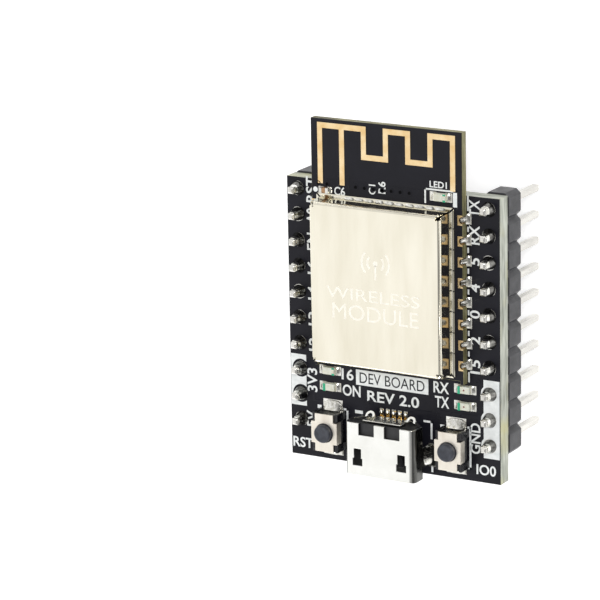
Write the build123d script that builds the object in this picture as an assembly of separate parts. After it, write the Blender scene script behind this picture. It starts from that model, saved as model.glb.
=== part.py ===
from build123d import *
import math
import os

# Microcontroller dev board: a carrier board on two pin headers, with a shielded radio module,
# a micro-USB socket, two push buttons and four status lights.
# Row frame: +Z up out of the component side, +Y towards the antenna, +X towards the serial pins.
# Origin: centre of the pin field, on the plane of the pin tips. All sizes in millimetres.

# ---- Pin headers ----
PIN_PITCH = 2.54
PINS_PER_ROW = 10
ROW_SPACING = 20.32
PIN_SIDE = 0.64
PIN_BELOW_HOUSING = 6.0
PIN_ABOVE_BOARD = 1.46
PIN_TIP_CHAMFER = 0.15
PIN_TIP_LENGTH = 0.4
HOUSING_WIDTH = 2.54
HOUSING_HEIGHT = 2.54
HOUSING_NOTCH = 0.42
PIN_IN_HOUSING_GAP = 0.01
PIN_HOLE_CLEARANCE = 0.05
PAD_RING_WIDTH = 0.2
SOLDER_COLLAR = 0.03
SOLDER_HEIGHT = 0.95

# ---- Carrier board ----
BOARD_WIDTH = 22.6
BOARD_LENGTH = 27.6
BOARD_THICKNESS = 1.6
FIRST_PIN_TO_TOP_EDGE = 1.08

# ---- Radio module ----
MODULE_WIDTH = 16.0
MODULE_LENGTH = 23.8
MODULE_THICKNESS = 0.8
MODULE_TO_BOTTOM_EDGE = 9.91
MODULE_CENTRE_X = -0.1
MODULE_SOLDER_GAP = 0.08
SIDE_PAD_COUNT = 8
SIDE_PAD_PITCH = 2.0
LAST_SIDE_PAD_TO_EDGE = 1.5
BOTTOM_PAD_COUNT = 6
PAD_NOTCH_RADIUS = 0.35
BREAK_TAB_SIZE = 0.35
EDGE_SOLDER_REACH = 0.42
EDGE_SOLDER_WIDTH = 0.95
EDGE_SOLDER_FOOT = 0.1
EDGE_SOLDER_CLEARANCE = 0.02

# ---- Antenna track on the module ----
TRACK_WIDTH = 0.54
TRACK_THICKNESS = 0.04
TRACK_TO_MODULE_EDGE = 0.35
TRACK_LOW_BEND = 3.22
FEED_LENGTH = 5.35
LAST_LEG_LENGTH = 4.75
TRACK_PITCH = 2.34

# ---- Shield can ----
CAN_WIDTH = 13.9
CAN_LENGTH = 15.7
CAN_HEIGHT = 2.3
CAN_WALL = 0.2
CAN_TOP_RADIUS = 0.32
CAN_FLANGE = 0.34
CAN_FLANGE_THICKNESS = 0.15
CAN_TO_MODULE_BOTTOM_EDGE = 0.6
CAN_CENTRE_X_OFFSET = -0.12
CORNER_RELIEF_RADIUS = 0.33
CORNER_SLIT = 0.16

# ---- Parts on the module ----
RADIO_CHIP = (5.0, 5.0, 0.85)
FLASH_CHIP = (5.2, 5.3, 1.6)
CRYSTAL = (3.2, 2.5, 0.7)
SMALL_CHIP = (1.0, 0.5, 0.45)
LED_SIZE = (1.6, 0.8, 0.45)

# ---- Micro-USB socket ----
USB_WIDTH = 7.5
USB_DEPTH = 5.2
USB_HEIGHT = 3.05
USB_WALL = 0.25
USB_TOP_RADIUS = 0.6
USB_LOWER_CHAMFER = 1.3
USB_CENTRE_X = -0.03
USB_OVERHANG = 0.15
USB_BLOCK_DEPTH = 1.6
USB_FIT_GAP = 0.02
USB_TONGUE = (3.7, 2.6, 0.6)
USB_TONGUE_HEIGHT = 1.25
USB_CONTACT_COUNT = 5
USB_CONTACT_PITCH = 0.65
USB_CONTACT_WIDTH = 0.3
USB_CONTACT_THICKNESS = 0.12
USB_TAIL_LENGTH = 0.6
USB_TAB = (0.75, 2.0, 0.25)
USB_TAB_FROM_FRONT = 2.1
LATCH_SLOT = (0.75, 0.95)
LATCH_POCKET = (1.0, 0.7)
LATCH_SPACING = 4.72
LATCH_FROM_FRONT = 1.0
REAR_NOTCH = (1.6, 1.15)
REAR_NOTCH_SPACING = 2.75

# ---- Push buttons ----
BUTTON_SPACING = 13.3
BUTTON_TO_BOTTOM_EDGE = 3.15
BUTTON_COVER = (2.8, 3.75, 1.9)
BUTTON_SHEET = 0.15
BUTTON_SKIRT = 0.9
BUTTON_BASE_INSET = 0.04
BUTTON_CORNER_CUT = (0.4, 0.8)
PLUNGER_RADIUS = 0.88
PLUNGER_STANDS_OUT = 0.5
PLUNGER_CLEARANCE = 0.06
PLUNGER_FLANGE_RADIUS = 1.02
PLUNGER_FLANGE_HEIGHT = 0.2
PLUNGER_RIM_RADIUS = 0.12
PLUNGER_REST_GAP = 0.03
WELL_CLEARANCE = 0.07
WELL_FLOOR = 0.35
DOME_HEIGHT = 0.4
DOME_SHEET = 0.06
DOME_TO_PLUNGER_GAP = 0.02
BUTTON_TERMINAL = (2.0, 0.75, 0.15)
BUTTON_TERMINAL_OUT = 0.7

# ---- Status lights ----
LIGHT_ROW_SPACING = 1.62
LIGHTS_TO_BOTTOM_EDGE = 7.3
LEFT_LIGHTS_X = -6.9
RIGHT_LIGHTS_X = 7.62

# ---- Parts under the board ----
BRIDGE_CHIP = (3.9, 9.9, 1.45)
BRIDGE_LEG_PITCH = 1.27
BRIDGE_LEGS_PER_SIDE = 8
REGULATOR = (6.5, 3.5, 1.5)
REGULATOR_LEG_PITCH = 2.3
REGULATOR_TAB = (3.0, 1.0, 0.2)
TRANSISTOR = (1.3, 2.9, 1.0)
TRANSISTOR_LEG_PITCH = 1.9
DIODE = (4.3, 2.6, 2.0)
LARGE_CAPACITOR = (2.0, 1.25, 1.1)
SMALL_RESISTOR = (1.6, 0.8, 0.45)
LEG_WIDTH = 0.4
LEG_THICKNESS = 0.2
LEG_REACH = 1.0
CHIP_STANDOFF = 0.1

# ---- Levels and places worked out from the sizes above ----
PIN_CORNER_RADIUS = PIN_SIDE / math.sqrt(2)
PIN_HOLE_RADIUS = PIN_CORNER_RADIUS + PIN_HOLE_CLEARANCE
SOLDER_PAD_RADIUS = PIN_HOLE_RADIUS + PAD_RING_WIDTH
SOLDER_TOP_RADIUS = PIN_CORNER_RADIUS + SOLDER_COLLAR
BOARD_BOTTOM = PIN_BELOW_HOUSING + HOUSING_HEIGHT
BOARD_TOP = BOARD_BOTTOM + BOARD_THICKNESS
PIN_ROW_LENGTH = (PINS_PER_ROW - 1) * PIN_PITCH
BOARD_TOP_EDGE = PIN_ROW_LENGTH / 2 + FIRST_PIN_TO_TOP_EDGE
BOARD_BOTTOM_EDGE = BOARD_TOP_EDGE - BOARD_LENGTH
BOARD_CENTRE_Y = (BOARD_TOP_EDGE + BOARD_BOTTOM_EDGE) / 2
MODULE_BOTTOM = BOARD_TOP + MODULE_SOLDER_GAP
MODULE_TOP = MODULE_BOTTOM + MODULE_THICKNESS
MODULE_BOTTOM_EDGE = BOARD_BOTTOM_EDGE + MODULE_TO_BOTTOM_EDGE
MODULE_TOP_EDGE = MODULE_BOTTOM_EDGE + MODULE_LENGTH
MODULE_CENTRE_Y = (MODULE_TOP_EDGE + MODULE_BOTTOM_EDGE) / 2
CAN_CENTRE_X = MODULE_CENTRE_X + CAN_CENTRE_X_OFFSET
CAN_CENTRE_Y = MODULE_BOTTOM_EDGE + CAN_TO_MODULE_BOTTOM_EDGE + CAN_LENGTH / 2
USB_FRONT = BOARD_BOTTOM_EDGE - USB_OVERHANG
USB_REAR = USB_FRONT + USB_DEPTH
LOWEST_LIGHT_Y = BOARD_BOTTOM_EDGE + LIGHTS_TO_BOTTOM_EDGE
BUTTON_Y = BOARD_BOTTOM_EDGE + BUTTON_TO_BOTTOM_EDGE


def block(size, x, y, z):
    """A box of the given size, centred on x and y, standing on z."""
    length, width, height = size
    return Pos(x, y, z + height / 2) * Box(length, width, height)


def post(radius, height, x, y, z):
    """An upright cylinder standing on z."""
    return Pos(x, y, z + height / 2) * Cylinder(radius, height)


def pin_places(side):
    """The centres of one row's pins, from the antenna end down."""
    return [(side * ROW_SPACING / 2, PIN_ROW_LENGTH / 2 - i * PIN_PITCH) for i in range(PINS_PER_ROW)]


def side_pad_heights():
    """Where the module's edge pads lie along Y, from the lowest one up."""
    lowest = MODULE_BOTTOM_EDGE + LAST_SIDE_PAD_TO_EDGE
    return [lowest + i * SIDE_PAD_PITCH for i in range(SIDE_PAD_COUNT)]


def write(node, solids):
    """Names the sub-part and writes it as one STEP file, one solid for each separate piece."""
    pieces = list(solids) if isinstance(solids, (list, tuple)) else [solids]
    shape = pieces[0] if len(pieces) == 1 else Compound(children=pieces)
    shape.label = node
    export_step(shape, f"parts/{node}.step")


# ---- Carrier board and its two pin headers ----


def carrier_board():
    board = block((BOARD_WIDTH, BOARD_LENGTH, BOARD_THICKNESS), 0, BOARD_CENTRE_Y, BOARD_BOTTOM)
    for side in (-1, 1):
        for x, y in pin_places(side):
            board -= post(PIN_HOLE_RADIUS, BOARD_THICKNESS, x, y, BOARD_BOTTOM)
    return board


def header_housing(side):
    """A chain of eight-sided blocks, one for each pin, joined flat to flat."""
    segment = chamfer(Rectangle(HOUSING_WIDTH, PIN_PITCH).vertices(), HOUSING_NOTCH)
    housing = Part()
    for x, y in pin_places(side):
        housing += Pos(x, y, PIN_BELOW_HOUSING) * extrude(segment, HOUSING_HEIGHT)
    hole = PIN_SIDE + 2 * PIN_IN_HOUSING_GAP
    for x, y in pin_places(side):
        housing -= block((hole, hole, HOUSING_HEIGHT), x, y, PIN_BELOW_HOUSING)
    return housing.solid()


def header_pin(x, y):
    length = BOARD_TOP + PIN_ABOVE_BOARD
    pin = block((PIN_SIDE, PIN_SIDE, length), 0, 0, 0)
    tip = pin.faces().sort_by(Axis.Z)[0]
    pin = chamfer(tip.edges(), PIN_TIP_CHAMFER, PIN_TIP_LENGTH, reference=tip)
    pin = chamfer(pin.faces().sort_by(Axis.Z)[-1].edges(), PIN_TIP_CHAMFER)
    return Pos(x, y, 0) * pin


def pin_solder(x, y):
    """A hollow-sided cone of solder round one pin, on its pad."""
    waist = (SOLDER_TOP_RADIUS + 0.3 * (SOLDER_PAD_RADIUS - SOLDER_TOP_RADIUS), 0.4 * SOLDER_HEIGHT)
    top = (SOLDER_TOP_RADIUS, SOLDER_HEIGHT)
    outline = Polyline(top, (0, SOLDER_HEIGHT), (0, 0), (SOLDER_PAD_RADIUS, 0))
    flank = ThreePointArc((SOLDER_PAD_RADIUS, 0), waist, top)
    profile = make_face(Plane.XZ * (outline + flank))
    cone = Pos(x, y, BOARD_TOP) * revolve(profile, Axis.Z)
    return (cone - block((PIN_SIDE, PIN_SIDE, SOLDER_HEIGHT), x, y, BOARD_TOP)).solid()


# ---- Radio module ----


def module_board():
    size = (MODULE_WIDTH, MODULE_LENGTH, MODULE_THICKNESS)
    board = block(size, MODULE_CENTRE_X, MODULE_CENTRE_Y, MODULE_BOTTOM)
    for side in (-1, 1):
        edge = MODULE_CENTRE_X + side * MODULE_WIDTH / 2
        for y in side_pad_heights():
            board -= post(PAD_NOTCH_RADIUS, MODULE_THICKNESS, edge, y, MODULE_BOTTOM)
        tab = (BREAK_TAB_SIZE, BREAK_TAB_SIZE, MODULE_THICKNESS)
        tab_x = edge - side * BREAK_TAB_SIZE / 2
        board += block(tab, tab_x, MODULE_BOTTOM_EDGE - BREAK_TAB_SIZE / 2, MODULE_BOTTOM)
    for i in range(BOTTOM_PAD_COUNT):
        x = MODULE_CENTRE_X + (i - (BOTTOM_PAD_COUNT - 1) / 2) * SIDE_PAD_PITCH
        board -= post(PAD_NOTCH_RADIUS, MODULE_THICKNESS, x, MODULE_BOTTOM_EDGE, MODULE_BOTTOM)
    return board.solid()


def antenna_track():
    """A folded copper track: a grounded leg, a feed leg, then square bends along the top edge."""
    top = MODULE_TOP_EDGE - TRACK_TO_MODULE_EDGE - TRACK_WIDTH / 2
    low = top - TRACK_LOW_BEND + TRACK_WIDTH
    legs = [MODULE_CENTRE_X + (i - 3) * TRACK_PITCH for i in range(7)]
    feed = top - FEED_LENGTH
    corners = [(legs[0], feed), (legs[0], top)]
    for down, up in ((2, 3), (4, 5)):
        corners += [(legs[down], top), (legs[down], low), (legs[up], low), (legs[up], top)]
    corners += [(legs[6], top), (legs[6], top - LAST_LEG_LENGTH)]
    runs = list(zip(corners, corners[1:])) + [((legs[1], feed), (legs[1], top))]
    track = Part()
    for (x1, y1), (x2, y2) in runs:
        size = (abs(x2 - x1) + TRACK_WIDTH, abs(y2 - y1) + TRACK_WIDTH, TRACK_THICKNESS)
        track += block(size, (x1 + x2) / 2, (y1 + y2) / 2, MODULE_TOP)
    return track.solid()


def shield_can():
    """A folded sheet lid: rounded top edges, slit corners with a round relief, a narrow foot."""
    can = block((CAN_WIDTH, CAN_LENGTH, CAN_HEIGHT), 0, 0, 0)
    can = fillet(can.faces().sort_by(Axis.Z)[-1].edges(), CAN_TOP_RADIUS)
    foot = (CAN_WIDTH + 2 * CAN_FLANGE, CAN_LENGTH + 2 * CAN_FLANGE, CAN_FLANGE_THICKNESS)
    can += block(foot, 0, 0, 0)
    room = (CAN_WIDTH - 2 * CAN_WALL, CAN_LENGTH - 2 * CAN_WALL, CAN_HEIGHT - CAN_WALL)
    inside = block(room, 0, 0, 0)
    can -= fillet(inside.faces().sort_by(Axis.Z)[-1].edges(), CAN_TOP_RADIUS - CAN_WALL)
    slit = Box(2 * math.hypot(CAN_FLANGE, CAN_FLANGE) + 2 * CAN_WALL, CORNER_SLIT, 2 * CAN_HEIGHT)
    inset = CORNER_RELIEF_RADIUS / 2
    depth = 2 * CAN_WALL
    for sx in (-1, 1):
        for sy in (-1, 1):
            x, y = sx * CAN_WIDTH / 2, sy * CAN_LENGTH / 2
            can -= Pos(x, y, 0) * Rot(0, 0, 45 * sx * sy) * slit
            can -= post(CORNER_RELIEF_RADIUS, depth, x - sx * inset, y - sy * inset, CAN_HEIGHT - depth)
    return Pos(CAN_CENTRE_X, CAN_CENTRE_Y, MODULE_TOP) * can.solid()


def module_passives():
    """Small capacitors and resistors round the radio chip, under the can."""
    places = [(-5.2, 4.6), (-5.2, 3.4), (-5.2, -0.6), (-5.2, -1.8)]
    places += [(-1.5, 6.4), (0.3, 6.4), (-3.4, -4.6), (-1.6, -4.6)]
    return [block(SMALL_CHIP, CAN_CENTRE_X + x, CAN_CENTRE_Y + y, MODULE_TOP) for x, y in places]


def edge_solder(side):
    """Solder that climbs from the carrier's pads into the module's half-round edge notches."""
    edge = MODULE_CENTRE_X + side * MODULE_WIDTH / 2
    height = MODULE_TOP - BOARD_TOP - EDGE_SOLDER_CLEARANCE
    pieces = []
    for y in side_pad_heights():
        foot = edge + side * EDGE_SOLDER_REACH
        start = edge + side * EDGE_SOLDER_CLEARANCE
        corners = [(start, BOARD_TOP), (foot, BOARD_TOP)]
        corners += [(foot, BOARD_TOP + EDGE_SOLDER_FOOT), (start, BOARD_TOP + height)]
        profile = make_face(Plane.XZ * Polyline(*corners, close=True))
        wedge = Pos(0, y, 0) * extrude(profile, EDGE_SOLDER_WIDTH / 2, both=True)
        core = post(PAD_NOTCH_RADIUS - EDGE_SOLDER_CLEARANCE, height, edge, y, BOARD_TOP)
        keep = block((EDGE_SOLDER_REACH * 2, EDGE_SOLDER_WIDTH, height), edge, y, BOARD_TOP)
        pieces.append((wedge + (core & keep)).solid())
    return pieces


# ---- Micro-USB socket ----


def usb_outline(grow):
    """The socket's mouth: round upper corners, slanted lower corners, grown outwards."""
    half = USB_WIDTH / 2 + grow
    low, high = -grow, USB_HEIGHT + grow
    slant = USB_LOWER_CHAMFER
    right = [(half - slant, low), (half, low + slant), (half, high)]
    left = [(-x, y) for x, y in reversed(right)]
    outline = make_face(Polyline(*right, *left, close=True))
    upper = outline.vertices().group_by(Axis.Y)[-1]
    return fillet(upper, USB_TOP_RADIUS + grow)


def usb_prism(grow, y_from, y_to):
    rear = Plane(origin=(USB_CENTRE_X, y_to, BOARD_TOP), x_dir=(1, 0, 0), z_dir=(0, -1, 0))
    return extrude(rear * usb_outline(grow), y_to - y_from)


def usb_shell():
    shell = usb_prism(0, USB_FRONT, USB_REAR) - usb_prism(-USB_WALL, USB_FRONT, USB_REAR)
    top = BOARD_TOP + USB_HEIGHT - USB_WALL
    depth = 2 * USB_WALL
    pocket_y = USB_FRONT + LATCH_FROM_FRONT + LATCH_POCKET[1] / 2
    slot_y = pocket_y + (LATCH_POCKET[1] + LATCH_SLOT[1]) / 2
    tab_y = USB_FRONT + USB_TAB_FROM_FRONT
    web = (USB_WALL, USB_TAB[1], USB_LOWER_CHAMFER + USB_WALL)
    for side in (-1, 1):
        latch_x = USB_CENTRE_X + side * LATCH_SPACING / 2
        shell -= block((*LATCH_POCKET, depth), latch_x, pocket_y, top)
        shell -= block((*LATCH_SLOT, depth), latch_x, slot_y, top)
        notch_x = USB_CENTRE_X + side * REAR_NOTCH_SPACING / 2
        shell -= block((*REAR_NOTCH, depth), notch_x, USB_REAR - REAR_NOTCH[1] / 2, top)
        wall_x = USB_CENTRE_X + side * USB_WIDTH / 2
        shell += block(USB_TAB, wall_x + side * USB_TAB[0] / 2, tab_y, BOARD_TOP)
        shell += block(web, wall_x - side * USB_WALL / 2, tab_y, BOARD_TOP)
    return shell.solid()


def usb_contact_places():
    middle = (USB_CONTACT_COUNT - 1) / 2
    return [USB_CENTRE_X + (i - middle) * USB_CONTACT_PITCH for i in range(USB_CONTACT_COUNT)]


def usb_contact(x):
    """A bent strip: a tail on the board behind the socket, a riser, and a blade under the tongue."""
    strip = USB_CONTACT_THICKNESS
    blade_z = BOARD_TOP + USB_TONGUE_HEIGHT - strip
    blade_front = USB_REAR - USB_BLOCK_DEPTH - USB_TONGUE[1] + strip
    riser_y = USB_REAR + strip
    width = USB_CONTACT_WIDTH
    blade = block((width, riser_y - blade_front, strip), x, (riser_y + blade_front) / 2, blade_z)
    riser = block((width, strip, blade_z - BOARD_TOP), x, riser_y - strip / 2, BOARD_TOP)
    tail = block((width, USB_TAIL_LENGTH, strip), x, riser_y + USB_TAIL_LENGTH / 2, BOARD_TOP)
    return (blade + riser + tail).solid()


def usb_insulator():
    """The plastic block that fills the socket's rear, with the tongue that carries the contacts."""
    grow = -USB_WALL - USB_FIT_GAP
    body = usb_prism(grow, USB_REAR - USB_BLOCK_DEPTH, USB_REAR)
    tongue_y = USB_REAR - USB_BLOCK_DEPTH - USB_TONGUE[1] / 2
    body += block(USB_TONGUE, USB_CENTRE_X, tongue_y, BOARD_TOP + USB_TONGUE_HEIGHT)
    slot_height = USB_CONTACT_THICKNESS + USB_FIT_GAP
    slot = (USB_CONTACT_WIDTH + 2 * USB_FIT_GAP, USB_BLOCK_DEPTH, slot_height)
    slot_z = BOARD_TOP + USB_TONGUE_HEIGHT - slot_height
    for x in usb_contact_places():
        body -= block(slot, x, USB_REAR - USB_BLOCK_DEPTH / 2, slot_z)
    return body.solid()


def usb_solder():
    """A bead of solder on each side tab."""
    beads = []
    for side in (-1, 1):
        x = USB_CENTRE_X + side * (USB_WIDTH / 2 + USB_TAB[0] * 0.45)
        y = USB_FRONT + USB_TAB_FROM_FRONT
        level = BOARD_TOP + USB_TAB[2]
        bead = Pos(x, y, level) * Rot(90, 0, 0) * Cylinder(USB_TAB[0] * 0.4, USB_TAB[1] * 0.8)
        above_tab = block((USB_TAB[0], USB_TAB[1], USB_TAB[0]), x, y, level)
        beads.append((bead & above_tab).solid())
    return beads


# ---- Push buttons ----


def button_levels():
    """Heights of the cover's underside, the plunger's flange and the dome's foot."""
    cover_underside = BOARD_TOP + BUTTON_COVER[2] - BUTTON_SHEET
    flange_top = cover_underside - PLUNGER_REST_GAP
    dome_foot = BOARD_TOP + WELL_FLOOR
    return cover_underside, flange_top, dome_foot


def button_cover(x):
    length, width, height = BUTTON_COVER
    cover = block((length, width, BUTTON_SKIRT), 0, 0, BOARD_TOP + height - BUTTON_SKIRT)
    inner = (length - 2 * BUTTON_SHEET, width, BUTTON_SKIRT - BUTTON_SHEET)
    cover -= block(inner, 0, 0, BOARD_TOP + height - BUTTON_SKIRT)
    cover -= post(PLUNGER_RADIUS + PLUNGER_CLEARANCE, height, 0, 0, BOARD_TOP)
    for sx in (-1, 1):
        for sy in (-1, 1):
            corner_x = sx * (length - BUTTON_CORNER_CUT[0]) / 2
            corner_y = sy * (width - BUTTON_CORNER_CUT[1]) / 2
            cover -= block((*BUTTON_CORNER_CUT, height), corner_x, corner_y, BOARD_TOP)
    return Pos(x, BUTTON_Y, 0) * cover.solid()


def button_base(x):
    length, width, _ = BUTTON_COVER
    inset = BUTTON_SHEET + BUTTON_BASE_INSET
    cover_underside, _, dome_foot = button_levels()
    tall = cover_underside - BOARD_TOP - BUTTON_BASE_INSET
    base = block((length - 2 * inset, width - 2 * BUTTON_BASE_INSET, tall), 0, 0, BOARD_TOP)
    well = PLUNGER_FLANGE_RADIUS + WELL_CLEARANCE
    base -= post(well, tall, 0, 0, dome_foot)
    strip = BUTTON_TERMINAL[2] + BUTTON_BASE_INSET
    for sy in (-1, 1):
        slot = (BUTTON_TERMINAL[0] + 2 * BUTTON_BASE_INSET, BUTTON_TERMINAL[1], strip)
        base -= block(slot, 0, sy * width / 2, BOARD_TOP)
    return Pos(x, BUTTON_Y, 0) * base.solid()


def button_terminals(x):
    """Flat strips that come out from under the base at its two ends."""
    reach = BUTTON_COVER[1] / 2 + BUTTON_TERMINAL_OUT - BUTTON_TERMINAL[1] / 2
    return [block(BUTTON_TERMINAL, x, BUTTON_Y + sy * reach, BOARD_TOP) for sy in (-1, 1)]


def button_plunger(x):
    _, flange_top, dome_foot = button_levels()
    head_top = BOARD_TOP + BUTTON_COVER[2] + PLUNGER_STANDS_OUT
    foot = dome_foot + DOME_HEIGHT + DOME_TO_PLUNGER_GAP
    plunger = post(PLUNGER_RADIUS, head_top - foot, 0, 0, foot)
    flange_foot = flange_top - PLUNGER_FLANGE_HEIGHT
    plunger += post(PLUNGER_FLANGE_RADIUS, PLUNGER_FLANGE_HEIGHT, 0, 0, flange_foot)
    plunger = fillet(plunger.edges().group_by(Axis.Z)[-1], PLUNGER_RIM_RADIUS)
    return Pos(x, BUTTON_Y, 0) * plunger.solid()


def button_dome(x):
    """A thin domed steel disc that snaps under the plunger."""
    _, _, dome_foot = button_levels()
    rim = PLUNGER_FLANGE_RADIUS
    ball_radius = (rim ** 2 + DOME_HEIGHT ** 2) / (2 * DOME_HEIGHT)
    ball = Sphere(ball_radius) - Sphere(ball_radius - DOME_SHEET)
    ball = Pos(0, 0, dome_foot + DOME_HEIGHT - ball_radius) * ball
    above_foot = block((3 * rim, 3 * rim, 2 * DOME_HEIGHT), 0, 0, dome_foot)
    return Pos(x, BUTTON_Y, 0) * (ball & above_foot).solid()


# ---- Parts under the board, which stand on its lower face ----


def hung(size, x, y, drop=0.0):
    """A block that hangs under the board, with its top the given distance below the board."""
    return block(size, x, y, BOARD_BOTTOM - drop - size[2])


def leg(x, y, turn):
    """A bent leg on a body's side at x and y, turned about +Z from pointing along +X."""
    foot = 0.6 * LEG_REACH
    near = LEG_REACH - foot
    shank_height = 4 * LEG_THICKNESS
    shape = block((foot, LEG_WIDTH, LEG_THICKNESS), LEG_REACH - foot / 2, 0, -LEG_THICKNESS)
    shape += block((LEG_THICKNESS, LEG_WIDTH, shank_height), near, 0, -shank_height)
    shape += block((near, LEG_WIDTH, LEG_THICKNESS), near / 2, 0, -shank_height)
    return Pos(x, y, BOARD_BOTTOM) * Rot(0, 0, turn) * shape.solid()


BRIDGE_PLACE = (0.0, -7.2)
REGULATOR_PLACE = (-2.2, 7.4)
TRANSISTOR_PLACES = [(-6.4, -1.2), (-6.4, -5.6)]
DIODE_PLACE = (4.8, 2.4)
CAPACITOR_PLACES = [(4.6, 6.2), (4.6, 8.6), (-5.0, 2.6), (6.4, -3.4)]
RESISTOR_PLACES = [(-1.6, 1.2), (-1.6, 2.8), (1.0, 0.0)]
RESISTOR_PLACES += [(6.4, -5.4), (6.4, -7.0), (6.4, -8.6), (-6.4, -8.8), (-6.4, -10.4)]


def bridge_legs():
    legs = []
    x, y = BRIDGE_PLACE
    for i in range(BRIDGE_LEGS_PER_SIDE):
        leg_y = y + (i - (BRIDGE_LEGS_PER_SIDE - 1) / 2) * BRIDGE_LEG_PITCH
        legs.append(leg(x + BRIDGE_CHIP[0] / 2, leg_y, 0))
        legs.append(leg(x - BRIDGE_CHIP[0] / 2, leg_y, 180))
    return legs


def regulator_legs():
    x, y = REGULATOR_PLACE
    edge = REGULATOR[1] / 2
    legs = [leg(x + i * REGULATOR_LEG_PITCH, y - edge, -90) for i in (-1, 0, 1)]
    return legs + [hung(REGULATOR_TAB, x, y + edge + REGULATOR_TAB[1] / 2)]


def transistor_legs():
    legs = []
    edge = TRANSISTOR[0] / 2
    for x, y in TRANSISTOR_PLACES:
        legs.append(leg(x + edge, y, 0))
        for side in (-1, 1):
            legs.append(leg(x - edge, y + side * TRANSISTOR_LEG_PITCH / 2, 180))
    return legs


def main():
    os.makedirs("parts", exist_ok=True)
    write("carrier_board", carrier_board())
    for side, name in ((-1, "left"), (1, "right")):
        write(f"header_{name}_housing", header_housing(side))
        write(f"header_{name}_pins", [header_pin(x, y) for x, y in pin_places(side)])
        write(f"header_{name}_solder", [pin_solder(x, y) for x, y in pin_places(side)])
        write(f"module_{name}_solder", edge_solder(side))

    write("module_board", module_board())
    write("antenna_track", antenna_track())
    write("shield_can", shield_can())
    write("radio_chip", block(RADIO_CHIP, CAN_CENTRE_X - 0.6, CAN_CENTRE_Y + 2.6, MODULE_TOP))
    write("flash_chip", block(FLASH_CHIP, CAN_CENTRE_X + 3.2, CAN_CENTRE_Y - 3.9, MODULE_TOP))
    write("crystal", block(CRYSTAL, CAN_CENTRE_X + 4.6, CAN_CENTRE_Y + 3.4, MODULE_TOP))
    write("module_passives", module_passives())
    above_can = CAN_CENTRE_Y + CAN_LENGTH / 2 + CAN_FLANGE
    write("antenna_capacitor", block(SMALL_CHIP, MODULE_CENTRE_X - 6.5, above_can + 0.35, MODULE_TOP))
    write("module_led", block(LED_SIZE, MODULE_CENTRE_X + 5.8, above_can + 0.9, MODULE_TOP))

    write("usb_shell", usb_shell())
    write("usb_insulator", usb_insulator())
    write("usb_contacts", [usb_contact(x) for x in usb_contact_places()])
    write("usb_solder", usb_solder())

    for name, side in (("reset", -1), ("boot", 1)):
        x = side * BUTTON_SPACING / 2
        write(f"{name}_button_base", button_base(x))
        write(f"{name}_button_cover", button_cover(x))
        write(f"{name}_button_plunger", button_plunger(x))
        write(f"{name}_button_dome", button_dome(x))
        write(f"{name}_button_terminals", button_terminals(x))

    high = LOWEST_LIGHT_Y + LIGHT_ROW_SPACING
    write("user_led", block(LED_SIZE, LEFT_LIGHTS_X, high, BOARD_TOP))
    write("power_led", block(LED_SIZE, LEFT_LIGHTS_X, LOWEST_LIGHT_Y, BOARD_TOP))
    write("receive_led", block(LED_SIZE, RIGHT_LIGHTS_X, high, BOARD_TOP))
    write("send_led", block(LED_SIZE, RIGHT_LIGHTS_X, LOWEST_LIGHT_Y, BOARD_TOP))

    write("usb_bridge_chip", hung(BRIDGE_CHIP, *BRIDGE_PLACE, CHIP_STANDOFF))
    write("usb_bridge_legs", bridge_legs())
    write("voltage_regulator", hung(REGULATOR, *REGULATOR_PLACE, CHIP_STANDOFF))
    write("regulator_legs", regulator_legs())
    write("reset_transistors", [hung(TRANSISTOR, x, y, CHIP_STANDOFF) for x, y in TRANSISTOR_PLACES])
    write("transistor_legs", transistor_legs())
    write("input_diode", hung(DIODE, *DIODE_PLACE))
    write("supply_capacitors", [hung(LARGE_CAPACITOR, x, y) for x, y in CAPACITOR_PLACES])
    write("board_resistors", [hung(SMALL_RESISTOR, x, y) for x, y in RESISTOR_PLACES])


main()
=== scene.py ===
import math
import random

import bmesh
import bpy
from mathutils import Matrix, Vector


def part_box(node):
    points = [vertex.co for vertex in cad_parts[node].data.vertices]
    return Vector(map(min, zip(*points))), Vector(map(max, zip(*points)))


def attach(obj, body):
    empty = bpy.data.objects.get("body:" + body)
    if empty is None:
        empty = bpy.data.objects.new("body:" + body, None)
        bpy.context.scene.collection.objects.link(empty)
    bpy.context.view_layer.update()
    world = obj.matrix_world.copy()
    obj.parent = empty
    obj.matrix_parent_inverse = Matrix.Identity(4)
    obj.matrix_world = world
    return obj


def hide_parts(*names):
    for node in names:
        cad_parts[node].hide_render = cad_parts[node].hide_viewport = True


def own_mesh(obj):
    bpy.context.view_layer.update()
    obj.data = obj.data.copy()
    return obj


# Looks of a microcontroller dev board: a black carrier board on two pin headers, a shielded radio
# module with a folded antenna, a micro-USB socket, two push buttons and four status lights.
# Pieces are drawn in millimetres in the part's own frame, and new_piece() turns them into metres.

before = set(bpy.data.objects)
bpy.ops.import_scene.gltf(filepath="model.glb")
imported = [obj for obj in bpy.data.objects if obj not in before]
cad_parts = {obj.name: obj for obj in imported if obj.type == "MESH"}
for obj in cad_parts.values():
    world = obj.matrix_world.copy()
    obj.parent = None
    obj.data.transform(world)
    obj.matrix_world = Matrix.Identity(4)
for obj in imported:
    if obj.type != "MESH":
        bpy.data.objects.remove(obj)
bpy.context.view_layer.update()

MM = 0.001
UPRIGHT = math.radians(90)
# A face whose normal has a smaller z than this is an edge's face or a hole's wall.
UPRIGHT_FACE = 0.5

# How far ink, plating and laser marking stand proud, and how far each is sunk so that none floats.
INK = 0.025
PLATE = 0.04
MARK = 0.004
SUNK = 0.01

# Noise seldom leaves this band, so a pattern stretches it to the full range.
NOISE_LOW = 0.3
NOISE_HIGH = 0.7


# ---- Materials ----


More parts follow.
